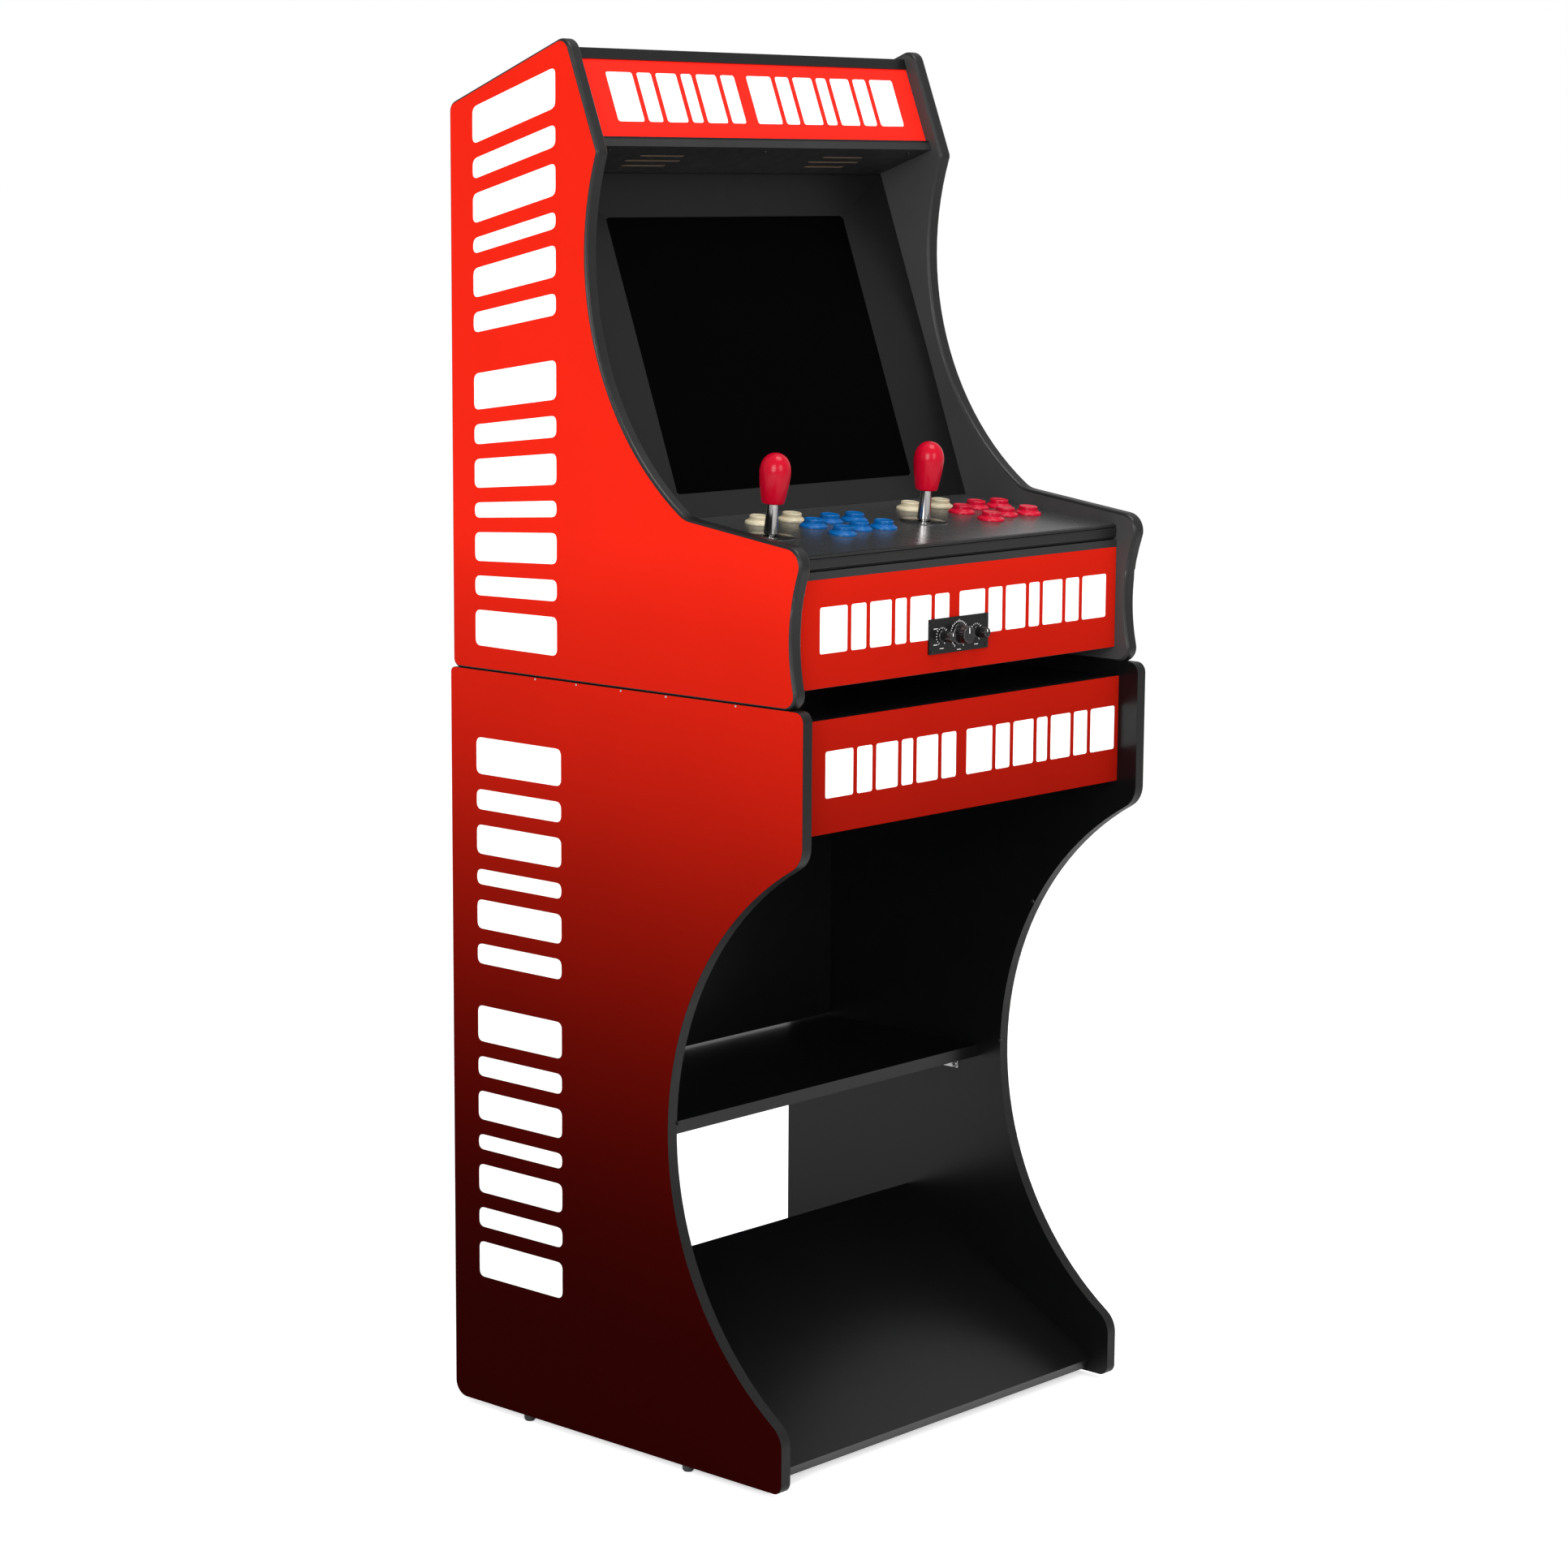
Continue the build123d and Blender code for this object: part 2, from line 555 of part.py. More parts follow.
def plunger():
    """The moving cap: a dished top, a smooth skirt and the stem that works the switch."""
    foot = PLUNGER_TOP - PLUNGER_LENGTH
    stem_end = BUTTON_TRAVEL + 0.5 - SWITCH_TOP
    return turned(
        [
            (0, PLUNGER_TOP - 1.5),
            (PLUNGER_R * 0.45, PLUNGER_TOP - 1.2),
            (PLUNGER_R - 2.2, PLUNGER_TOP - 0.2),
            (PLUNGER_R - 1.4, PLUNGER_TOP),
            (PLUNGER_R - 0.5, PLUNGER_TOP - 0.4),
            (PLUNGER_R, PLUNGER_TOP - 1.3),
            (PLUNGER_R, foot),
            (STEM_R, foot),
            (STEM_R, stem_end),
            (0, stem_end),
        ]
    )


def plungers():
    """One node for each button: six fire buttons and two menu buttons for each player."""
    names = {}
    for player in (0, 1):
        fire = [(f"fire{i + 1}", at) for i, at in enumerate(FIRE_AT)]
        menu = [(f"menu{i + 1}", at) for i, at in enumerate(CREAM_AT)]
        for name, (x, y) in fire + menu:
            at = DECK * Pos(x + player * PLAYER_PITCH, y, 0)
            names[f"p{player + 1}_{name}_plunger"] = at * plunger()
    return names


# ---- joysticks ---------------------------------------------------------------------------


def stick_shaft():
    """Chromed shaft with its flared sleeve, pivot pins, and the actuator at its lower end."""
    shaft = turned(
        [
            (0, -ROD_BOTTOM),
            (ACTUATOR_R - 1, -ROD_BOTTOM),
            (ACTUATOR_R, -ROD_BOTTOM + 1),
            (ACTUATOR_R, -ACTUATOR_TOP),
            (ROD_R, -ACTUATOR_TOP),
            (ROD_R, CONE_FOOT),
            (CONE_LOW_R - 0.6, CONE_FOOT),
            (CONE_LOW_R, CONE_FOOT + 0.8),
            (CONE_TOP_R, CONE_TOP),
            (3.0, CONE_TOP),
            (3.0, CONE_TOP + 22),
            (0, CONE_TOP + 22),
        ]
    )
    pins = Pos(0, 0, -PIVOT_DEPTH) * across(PIVOT_PIN_R, -RING_OUT_R + 1, RING_OUT_R - 1, "Y")
    return shaft + pins


def stick_bat():
    """The bat-shaped top: widest near its head, narrowing to a flat foot on the sleeve."""
    foot, head = CONE_TOP, CONE_TOP + BAT_LENGTH
    side = Spline(
        (BAT_BASE_R, 0, foot + 1.2),
        (BAT_R - 1.0, 0, foot + BAT_LENGTH * 0.42),
        (BAT_R, 0, foot + BAT_LENGTH * 0.66),
        (BAT_R * 0.74, 0, head - BAT_LENGTH * 0.085),
        (0, 0, head),
        tangents=[(0.1, 0, 1), (-1, 0, 0)],
    )
    base = Polyline((0, 0, head), (0, 0, foot), (BAT_BASE_R - 1.2, 0, foot), (BAT_BASE_R, 0, foot + 1.2))
    bat = revolve(make_face(side + base), Axis.Z)
    return bat - pipe(3.0, CONE_TOP - 1, CONE_TOP + 22)


def gimbal():
    """The pivot ring: it turns in the base's ears about X and carries the shaft about Y."""
    ring = pipe(RING_OUT_R, -RING_H / 2, RING_H / 2) - pipe(RING_IN_R, -9, 9)
    ring -= across(PIVOT_PIN_R + PIN_PLAY, -20, 20, "Y")
    ring += across(PIVOT_PIN_R, -19.5, -RING_OUT_R + 1, "X")
    ring += across(PIVOT_PIN_R, RING_OUT_R - 1, 19.5, "X")
    return Pos(0, 0, -PIVOT_DEPTH) * ring


def joystick_base():
    """Steel mounting plate with the pivot's ears, and the switch housing below it."""
    plate_top = -BOARD
    plate = block((-48, 48), (-30, 30), (plate_top - 2.5, plate_top)) - pipe(BASE_BORE_R, -99, 99)
    plate -= [Pos(x, y, plate_top) * Cylinder(2.4, 20) for x in (-42, 42) for y in (-22, 22)]
    ear = block((15.5, 19.5), (-5, 5), (plate_top, -PIVOT_DEPTH + 4))
    ears = ear + mirror(ear, Plane.YZ)
    ears -= Pos(0, 0, -PIVOT_DEPTH) * across(PIVOT_PIN_R + PIN_PLAY, -25, 25, "X")
    low = -ROD_BOTTOM - 4
    walls = block((-29, 29), (-29, 29), (low, plate_top - 2.5))
    walls -= block((-24, 24), (-24, 24), (low - 5, plate_top - 5.5)) + pipe(BASE_BORE_R, -99, 99)
    switch = block((-10, 10), (17, 23.5), (low + 2, low + 14))
    switches = [Rot(0, 0, a) * switch for a in (0, 90, 180, 270)]
    return plate + ears + walls + switches


def joysticks():
    washer = pipe(WASHER_R, 0, WASHER_H) - pipe(WASHER_BORE_R, -5, 5)
    washer = chamfer(washer.faces().sort_by(Axis.Z)[-1].edges().sort_by(SortBy.RADIUS)[-1], 0.5)
    parts = {
        "joystick_bases": group([DECK * Pos(x, y, 0) * joystick_base() for x, y in ALL_STICKS]),
        "dust_washers": group([DECK * Pos(x, y, 0) * washer for x, y in ALL_STICKS]),
    }
    for player, (x, y) in enumerate(ALL_STICKS, start=1):
        at = DECK * Pos(x, y, 0)
        parts[f"p{player}_shaft"] = at * stick_shaft()
        parts[f"p{player}_bat"] = at * stick_bat()
        parts[f"p{player}_gimbal"] = at * gimbal()
    return parts


# ---- amplifier and electronics -----------------------------------------------------------

AMP_FACE = FRONT_Y - 2.5  # front of the faceplate
KNOBS = {"bass": (-1, 7.0, 18.0), "volume": (0, 12.5, 17.0), "treble": (1, 7.0, 18.0)}


def amplifier():
    """A small stereo amplifier: faceplate over the opening, box behind, three shafts."""
    plate = Pos(AMP_X, (AMP_FACE + FRONT_Y) / 2, AMP_Z) * Box(AMP_W, FRONT_Y - AMP_FACE, AMP_H)
    plate = fillet(plate.edges().filter_by(Axis.Y), 1.2)
    box = Pos(AMP_X, FRONT_Y + AMP_DEPTH / 2, AMP_Z) * Box(AMP_W - 9, AMP_DEPTH, AMP_H - 7)
    shafts = [
        Pos(AMP_X + i * KNOB_PITCH, AMP_FACE, AMP_Z) * across(KNOB_AXLE_R - PIN_PLAY, -8, 1, "Y")
        for i, _, _ in KNOBS.values()
    ]
    return plate + box + shafts


def knob(radius, height):
    """A skirted knob with a raised grip bar, facing -Y, bored for its shaft."""
    body = turned(
        [
            (0, 0.5),
            (radius, 0.5),
            (radius, 2.0),
            (radius * 0.86, 2.8),
            (radius * 0.78, height - 0.8),
            (radius * 0.72, height),
            (0, height),
        ]
    )
    body += Pos(0, radius * 0.42, height - 0.5) * Box(1.4, radius * 0.6, 1.6)
    body -= pipe(KNOB_AXLE_R, -1, 8.5)
    return Rot(90, 0, 0) * body


def knobs():
    return {
        f"{name}_knob": Pos(AMP_X + i * KNOB_PITCH, AMP_FACE, AMP_Z) * knob(radius, height)
        for name, (i, radius, height) in KNOBS.items()
    }


def game_computer():
    """The game board in its case and the power brick, both on the base board."""
    floor = BASE_BOTTOM + BOARD
    case = block((-190, -60), (300, 400), (floor, floor + 34))
    case -= [block((-180 + i * 12, -175 + i * 12), (310, 390), (floor + 32, floor + 40)) for i in range(10)]
    brick = fillet(block((60, 175), (330, 385), (floor, floor + 32)).edges(), 3)
    return group([case, brick])


# ---- output ------------------------------------------------------------------------------


def build():
    parts = {}
    parts.update(stand_sides())
    parts.update(stand_boards())
    parts.update(bartop_sides())
    parts.update(joysticks())
    parts.update(plungers())
    parts.update(knobs())
    makers = [stand_glides, shelf_brackets, joining_bolts, joining_spacers, edge_mouldings, bartop_base]
    makers += [bartop_top_panel, rear_service_panel, power_inlet, marquee_panel, marquee_retainers]
    makers += [marquee_light, speaker_panel, speakers, screen_bezel, monitor, monitor_rail]
    makers += [control_deck, deck_moulding, control_front_panel, button_bodies, button_switches]
    makers += [amplifier, game_computer]
    for make in makers:
        parts[make.__name__] = make()
    return {name: TO_FLOOR * shape for name, shape in parts.items()}


def main():
    os.makedirs("parts", exist_ok=True)
    for name, shape in build().items():
        export_step(shape, f"parts/{name}.step")


main()
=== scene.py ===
"""The looks of the two-player arcade cabinet: printed sheets, edge bands, buttons, sticks, dials.

Everything is in metres in the part's own frame: +Z up, the players stand on the -Y side. Places
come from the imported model; the sizes below are in millimetres and are turned into metres by MM.
"""

import json
from math import cos, pi, radians, sin, tan

import bmesh
import bpy
from mathutils import Matrix, Vector


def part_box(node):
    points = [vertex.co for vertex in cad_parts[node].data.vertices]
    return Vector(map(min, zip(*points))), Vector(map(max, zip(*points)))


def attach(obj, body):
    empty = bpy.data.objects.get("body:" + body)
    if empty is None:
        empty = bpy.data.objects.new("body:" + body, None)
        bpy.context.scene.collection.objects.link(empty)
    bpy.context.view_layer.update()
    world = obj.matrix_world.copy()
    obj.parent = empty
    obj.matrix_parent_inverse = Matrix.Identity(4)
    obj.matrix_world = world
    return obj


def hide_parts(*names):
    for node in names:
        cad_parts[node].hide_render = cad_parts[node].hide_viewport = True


MM = 0.001
UP = Vector((0, 0, 1))
ACROSS = Vector((1, 0, 0))
FRONT = Vector((0, -1, 0))

# ---- meshes ------------------------------------------------------------------------------

SMOOTH_ANGLE = 35.0  # degrees; sharper edges stay crisp
BEVEL_ANGLE, BEVEL_SEGMENTS = 40.0, 2
CORNER_STEPS = 5  # points round a rounded corner
BOARD_ROUND = 0.5  # the softened edge of a board
BAND_THICK, BAND_ROUND = 0.35, 0.15  # the plastic band on the stand sides' cut edges
SAME_PLANE = 0.3  # points this near a plane count as lying in it
FACING, ROUGHLY_FACING, SIDEWAYS = 0.999, 0.5, 0.3  # cosines between a face and a direction
FACE_MERGE, EDGE_MERGE = 1.0, 0.5  # degrees; flatter neighbours become one face
WELD = 0.01
SLOT_MARGIN = 5.0  # the sound slots are at least this far inside the speaker board's outline

# ---- camera and light, places in metres --------------------------------------------------

CAMERA_AT = (-3.3826, -3.0501, 1.4973)
CAMERA_TARGET = (-0.0231, 0.0057, 0.7645)
CAMERA_ROLL = 0.37  # degrees
LENS, SENSOR = 87.7, 36.0
FARTHEST = 200.0  # metres that the camera sees
SKY_SEEN, SKY_LIGHT = 1.0, 0.62  # the sky as the camera sees it, and as it lights the cabinet
FLOOR_SIZE = 400.0
FLOOR_LIFT = 0.5  # how much brighter the camera sees the floor than it is lit
LAMPS_AIM = (0, 0, 0.9)
# name, place in metres, diameter in metres, power in watts
LAMPS = [
    ("key", (-5.0, -3.0, 2.6), 3.0, 260),
    ("front", (-0.8, -5.5, 2.6), 2.5, 110),
    ("top", (0.3, -1.2, 4.4), 2.0, 90),
]

# ---- printed artwork ---------------------------------------------------------------------

SHEET = 0.15  # thickness of a printed sheet
INK = 0.06  # how far the white print stands on it
# height in metres and the print's red in linear light: bright above, fading to near black
RED_STOPS = [
    (0.13, 0.0153), (0.28, 0.026), (0.38, 0.0455), (0.48, 0.079), (0.57, 0.13), (0.67, 0.20),
    (0.76, 0.29), (0.885, 0.44), (0.99, 0.51), (1.08, 0.68),
]
RED_GREEN, RED_BLUE = 0.023, 0.009  # the print's green and blue, as shares of its red
BAR_WIDTHS = [1.0, 0.55, 0.8, 0.42, 0.8, 0.55]  # the bars' widths, one to another
BAR_GAP, GROUP_GAP, BAR_CORNER = 0.13, 0.36, 0.06  # in shares of the band's height
SKIN_INSET, SKIN_LIFT = 0.5, 0.02  # a sheet keeps off its board's edge, and off the board
# each band's middle, length and height; its first bar leans by fan degrees
BANDS = {
    "bartop": {"y": 170.5, "z": 1270.5, "length": 631.0, "height": 137.0, "fan": 18.0},
    "stand": {"y": 167.5, "z": 506.5, "length": 643.0, "height": 143.0, "fan": 0.0},
    "marquee": {"x": 3.0, "up": 49.5, "length": 492.0, "height": 60.0},
    "control": {"x": 9.0, "z": 990.5, "length": 510.0, "height": 52.0},
    "kick": {"x": 20.0, "z": 828.5, "length": 520.0, "height": 53.0},
}
CONTROL_PRINT_TOP = 1048.0  # height of the print's top edge below the deck
MARQUEE_FOOT_COVER = 2.6  # how far the lower retainer laps the marquee sheet
CONTROL_PRINT_INSET, CONTROL_PRINT_CORNER = 0.3, 1.5

# ---- push buttons and sticks, measured from the deck's surface ---------------------------

RIM_PROFILE = [
    (11.7, 4.9), (11.8, 5.4), (12.1, 5.6), (12.5, 5.5), (12.9, 5.0), (13.2, 4.4), (13.8, 4.05),
    (14.8, 3.75), (15.7, 3.2), (16.3, 2.4), (16.5, 1.5), (16.5, 0.7), (16.4, 0.15), (16.0, 0.0),
]
BARREL = [(13.8, 0.0), (13.8, -30.0), (11.7, -30.0), (11.7, 4.9)]
CAP_PROFILE = [
    (0.0, 8.9), (3.5, 8.95), (6.5, 9.2), (8.3, 9.65), (9.3, 10.05), (10.0, 10.2), (10.7, 10.1),
    (11.15, 9.7), (11.4, 9.1), (11.4, 8.6),
]
CAP_SKIRT = [(11.4, 8.6), (11.4, -15.8), (4.0, -15.8), (4.0, -32.7), (0.0, -32.7)]
NUT_PROFILE = [(14.0, -15.0), (17.0, -15.0), (17.3, -15.6), (17.3, -21.4), (17.0, -22.0), (14.0, -22.0)]
NUT_FLUTES = (12, 0.6)  # how many, and how deep
BAT_PROFILE = [
    (0.0, 96.0), (4.6, 95.4), (9.2, 93.3), (13.3, 89.4), (16.2, 84.2), (17.7, 78.3), (18.0, 73.0),
    (17.5, 66.0), (16.4, 57.0), (15.0, 48.5), (13.9, 42.6), (13.2, 39.7), (12.2, 38.4),
    (10.6, 38.0), (6.4, 38.0),
]
ROD_PROFILE = [
    (0.0, -46.0), (7.2, -46.0), (8.0, -45.2), (8.0, -36.0), (5.0, -36.0), (5.0, 3.6), (7.4, 3.6),
    (8.0, 4.3), (6.5, 37.2), (6.5, 38.0), (0.0, 38.0),
]
WASHER_PROFILE = [
    (7.8, 0.0), (7.8, 0.95), (8.1, 1.2), (27.6, 1.2), (28.5, 0.95), (28.95, 0.5), (29.0, 0.0),
]
PIN_PROFILE = [(0, -13), (1.4, -13), (1.5, -12.8), (1.5, 12.8), (1.4, 13), (0, 13)]
PIN_DEPTH = 9.0  # below the deck's surface
TURNS = 64  # segments of a turned piece

# ---- amplifier ---------------------------------------------------------------------------

KNOBS = {"bass": (7.0, 17.3), "volume": (12.5, 16.3), "treble": (7.0, 17.3)}  # radius and height
KNOB_FLUTES, KNOB_SEGMENTS = (24, 0.28), 144
POINTER_WIDE, POINTER_CORNER = 0.9, 0.4
POINTER_FOOT, POINTER_FACE = 0.5, 0.3  # how far below the knob's top the line starts and ends
DIAL_SWEEP = 150.0  # degrees to each side
DIAL_GAP = 1.6  # from the knob to its marks
LARGE_DIAL, SMALL_DIAL = (31, 0.5), (16, 0.4)  # how many marks, and half the width of one
LONG_MARK, SHORT_MARK = 2.6, 1.7
LONG_MARK_EVERY = 5
LARGE_KNOB = 10.0  # a knob of a larger radius than this has the large dial
PLATE_INK = 0.05  # how far the printed marks stand on the faceplate
PLATE_SCREWS = [(x, y) for x in (-49, 49) for y in (-16.5, 16.5)]
PLATE_SCREW = 1.9
PLATE_DASH = (7, 0.9)
PLATE_DASHES = [(-42, 9), (-42, -9.5), (-31, -14.5), (31, -14.5), (0, -18)]

# ---- screen and small hardware -----------------------------------------------------------

SCREEN_WIDTH, SCREEN_HEIGHT, SCREEN_CORNER = 414.6, 335.6, 5.0
SCREEN_THICK = 0.35
DECK_SHEET_INSET, DECK_SHEET = 0.3, 0.25
SOFFIT_SCREW_BACK = 14.0  # how far behind the speaker board's front edge its screws are
SOFFIT_SCREW, SOFFIT_SCREWS_X = 2.6, (-262, 0, 262)
REAR_SCREW, REAR_SCREWS_X, REAR_SCREW_INSET = 4.0, (-278, 278), 30.0
CAP_PLACES = [(-78.0, 409.0), (-126.5, 594.5)]  # y and z of the screw caps inside the stand
SCREW_CAP_PROFILE = [(0, 0), (2.6, 0), (2.6, 0.4), (2.1, 0.8), (0, 0.9)]
BRACKET_SCREW = 4.4
BRACKET_SCREW_AT = (5.5, 4.5)  # from the bracket's end and from its foot
BRACKET_SHEET = 2.0  # thickness of the brackets' steel
BRADS_Y = [138.6, 70.7, -1.8, -73.4, -181.3]
BRAD_DROP = 1.7  # how far below the stand's top edge the heads are
BRAD_PROFILE = [(0, 0), (1.3, 0), (1.3, 0.25), (0.9, 0.5), (0, 0.6)]

# ---- which look each CAD solid has, by its slot or by its own name -----------------------

SLOT_LOOKS = {
    "side_board": "laminate", "front_board": "laminate", "black_board": "laminate",
    "raw_wood": "pine", "deck_board": "laminate", "edge_moulding": "edge_plastic",
    "marquee_acrylic": "acrylic", "black_metal": "black_metal", "white_plastic": "lamp",
    "black_plastic": "black_plastic", "button_body": "black_plastic", "switch": "black_plastic",
    "fire_blue": "blue", "fire_red": "button_red", "menu_cream": "cream", "bat_red": "bat",
    "chromed": "chrome", "steel": "steel", "knob_plastic": "knob",
}
STAND_BOARDS = [
    "stand_top", "stand_kick_panel", "stand_back_panel", "stand_shelf", "stand_foot_board",
    "stand_side_left", "stand_side_right", "bartop_base",
]
NODE_LOOKS = {
    # the joining spacers get the dark matte look of the screw crosses: painted shade in the seam between the
    # cabinets
    "screen_bezel": "bezel", "joining_spacers": "recess_shade",
    # the bartop sides get a lighter copy of the black laminate: painted light on their inner faces
    "bartop_side_left": "side_laminate_lit", "bartop_side_right": "side_laminate_lit",
    # the stand's boards get a darker copy of the black laminate: painted shade in the stand
    **{node: "stand_laminate_shaded" for node in STAND_BOARDS},
}
BEVELLED = [
    "stand_top", "stand_kick_panel", "stand_back_panel", "stand_shelf", "stand_foot_board",
    "bartop_base", "bartop_top_panel", "rear_service_panel", "control_front_panel",
    "marquee_retainers", "marquee_panel", "stand_glides", "power_inlet",
]


# ---- mesh helpers ------------------------------------------------------------------------


def add_mesh(name, vertices, faces, material, body="root"):
    """A new piece from vertices in the row frame, riding on a body."""
    mesh = bpy.data.meshes.new(name)
    mesh.from_pydata([tuple(v) for v in vertices], [], faces)
    mesh.update()
    bm = bmesh.new()
    bm.from_mesh(mesh)
    bmesh.ops.recalc_face_normals(bm, faces=bm.faces)
    bm.to_mesh(mesh)
    bm.free()
    piece = bpy.data.objects.new(name, mesh)
    bpy.context.scene.collection.objects.link(piece)
    mesh.materials.append(material)
    smooth(mesh)
    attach(piece, body)
    return piece


def smooth(mesh):
    """Smooth shading with the sharper edges kept crisp."""
    mesh.polygons.foreach_set("use_smooth", [True] * len(mesh.polygons))
    mesh.set_sharp_from_angle(angle=radians(SMOOTH_ANGLE))


def curve_through(points, steps=4):
    """Catmull-Rom points through a profile, so that a turned piece has round shoulders."""
    padded = [points[0]] + list(points) + [points[-1]]
    out = []
    for a, b, c, d in zip(padded, padded[1:], padded[2:], padded[3:]):
        for i in range(steps):
            t = i / steps
            out.append(tuple(
                0.5 * (2 * b[k] + (c[k] - a[k]) * t + (2 * a[k] - 5 * b[k] + 4 * c[k] - d[k]) * t * t
                       + (3 * b[k] - a[k] - 3 * c[k] + d[k]) * t ** 3)
                for k in (0, 1)
            ))
    out.append(tuple(points[-1]))
    return out


def lathe(name, profile, place, material, body="root", closed=False, segments=TURNS, flutes=None):
    """Turns (radius, height) points in millimetres about the local z of place."""
    count, depth = flutes or (0, 0)
    vertices, rings = [], []
    for r, z in profile:
        if r < 1e-6:
            rings.append([len(vertices)] * segments)
            vertices.append(place @ Vector((0, 0, z * MM)))
            continue
        ring = []
        for i in range(segments):
            a = 2 * pi * i / segments
            rr = (r + depth * cos(count * a)) * MM
            ring.append(len(vertices))
            vertices.append(place @ Vector((rr * cos(a), rr * sin(a), z * MM)))
        rings.append(ring)
    if closed:
        rings.append(rings[0])
    faces = []
    for lower, upper in zip(rings, rings[1:]):
        for i in range(segments):
            j = (i + 1) % segments
            corners = [lower[i], lower[j], upper[j], upper[i]]
            face = [c for n, c in enumerate(corners) if c not in corners[:n]]
            if len(face) > 2:
                faces.append(face)
    return add_mesh(name, vertices, faces, material, body)


def prism(outline, low, high, place):
    """Vertices and faces of a flat outline in millimetres, extruded along the local z."""
    n = len(outline)
    vertices = [place @ Vector((x * MM, y * MM, z * MM)) for z in (low, high) for x, y in outline]
    faces = [list(range(n)), list(range(n, 2 * n))]
    faces += [[i, (i + 1) % n, n + (i + 1) % n, n + i] for i in range(n)]
    return vertices, faces


def prisms(name, outlines, low, high, place, material, body="root"):
    """One piece made of several extruded outlines."""
    vertices, faces = [], []
    for outline in outlines:
        more, theirs = prism(outline, low, high, place)
        faces += [[i + len(vertices) for i in face] for face in theirs]
        vertices += more
    return add_mesh(name, vertices, faces, material, body)


def bevel(piece, width):
    """Softened edges of a given width in millimetres."""
    modifier = piece.modifiers.new("soft edges", "BEVEL")
    modifier.width = width * MM
    modifier.segments = BEVEL_SEGMENTS
    modifier.limit_method = "ANGLE"
    modifier.angle_limit = radians(BEVEL_ANGLE)
    modifier.harden_normals = True


def rounded_outline(corners, radius):
    """A polygon with each corner rounded: list of (x, y), counter-clockwise or clockwise."""
    out = []
    count = len(corners)
    for i, corner in enumerate(corners):
        here = Vector(corner)
        before = Vector(corners[i - 1]) - here
        after = Vector(corners[(i + 1) % count]) - here
        reach = min(radius, 0.45 * before.length, 0.45 * after.length)
        start = here + before.normalized() * reach
        end = here + after.normalized() * reach
        for s in range(CORNER_STEPS + 1):
            t = s / CORNER_STEPS
            out.append(tuple((1 - t) ** 2 * start + 2 * t * (1 - t) * here + t * t * end))
    return out


def rectangle(width, height, at=(0, 0)):
    """The corners of a rectangle about a point."""
    x, y = at
    w, h = width / 2, height / 2
    return [(x - w, y - h), (x + w, y - h), (x + w, y + h), (x - w, y + h)]


def flat_faces(node, direction):
    """The polygons of a CAD node's outermost flat face towards a direction."""
    mesh = frame["nodes"][node].data
    facing = [p for p in mesh.polygons if p.normal.dot(direction) > FACING]
    outermost = max(p.center.dot(direction) for p in facing)
    return mesh, [p for p in facing if p.center.dot(direction) > outermost - SAME_PLANE * MM]


def skin(name, node, direction, material, inset, lift, thickness, body="root"):
    """A thin sheet laid on a CAD node's flat face, cut a little inside the face's own outline."""
    mesh, polygons = flat_faces(node, direction)
    bm = bmesh.new()
    seen = {}
    for polygon in polygons:
        for i in polygon.vertices:
            if i not in seen:
                seen[i] = bm.verts.new(mesh.vertices[i].co)
        bm.faces.new([seen[i] for i in polygon.vertices])
    bmesh.ops.remove_doubles(bm, verts=bm.verts, dist=WELD * MM)
    bmesh.ops.dissolve_limit(bm, angle_limit=radians(FACE_MERGE), verts=bm.verts, edges=bm.edges)
    rim = bmesh.ops.inset_region(bm, faces=bm.faces, thickness=inset * MM, use_even_offset=True)
    bmesh.ops.delete(bm, geom=rim["faces"], context="FACES")
    bmesh.ops.translate(bm, verts=bm.verts, vec=direction * lift * MM)
    grown = bmesh.ops.extrude_face_region(bm, geom=bm.faces)
    top = [v for v in grown["geom"] if isinstance(v, bmesh.types.BMVert)]
    bmesh.ops.translate(bm, verts=top, vec=direction * thickness * MM)
    bmesh.ops.recalc_face_normals(bm, faces=bm.faces)
    sheet = bpy.data.meshes.new(name)
    bm.to_mesh(sheet)
    bm.free()
    piece = bpy.data.objects.new(name, sheet)
    bpy.context.scene.collection.objects.link(piece)
    sheet.materials.append(material)
    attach(piece, body)


def edge_band(name, node, material):
    """A thin plastic band round a side board's cut edge, a hair proud of the board."""
    mesh = frame["nodes"][node].data
    bm = bmesh.new()
    seen = {}
    for polygon in mesh.polygons:
        if abs(polygon.normal.x) < ROUGHLY_FACING:
            for i in polygon.vertices:
                if i not in seen:
                    seen[i] = bm.verts.new(mesh.vertices[i].co)
            bm.faces.new([seen[i] for i in polygon.vertices])
    bmesh.ops.remove_doubles(bm, verts=bm.verts, dist=WELD * MM)
    bmesh.ops.dissolve_limit(bm, angle_limit=radians(EDGE_MERGE), verts=bm.verts, edges=bm.edges)
    band = bpy.data.meshes.new(name)
    bm.to_mesh(band)
    bm.free()
    smooth(band)
    piece = bpy.data.objects.new(name, band)
    bpy.context.scene.collection.objects.link(piece)
    band.materials.append(material)
    thick = piece.modifiers.new("band", "SOLIDIFY")
    thick.thickness = BAND_THICK * MM
    thick.offset = 1.0
    bevel(piece, BAND_ROUND)
    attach(piece, "root")


def frame_at(origin, x_axis, z_axis):
    """A placement with the given local x and z."""
    z = z_axis.normalized()
    x = (x_axis - z * x_axis.dot(z)).normalized()
    y = z.cross(x)
    place = Matrix((x, y, z)).transposed().to_4x4()
    place.translation = origin
    return place


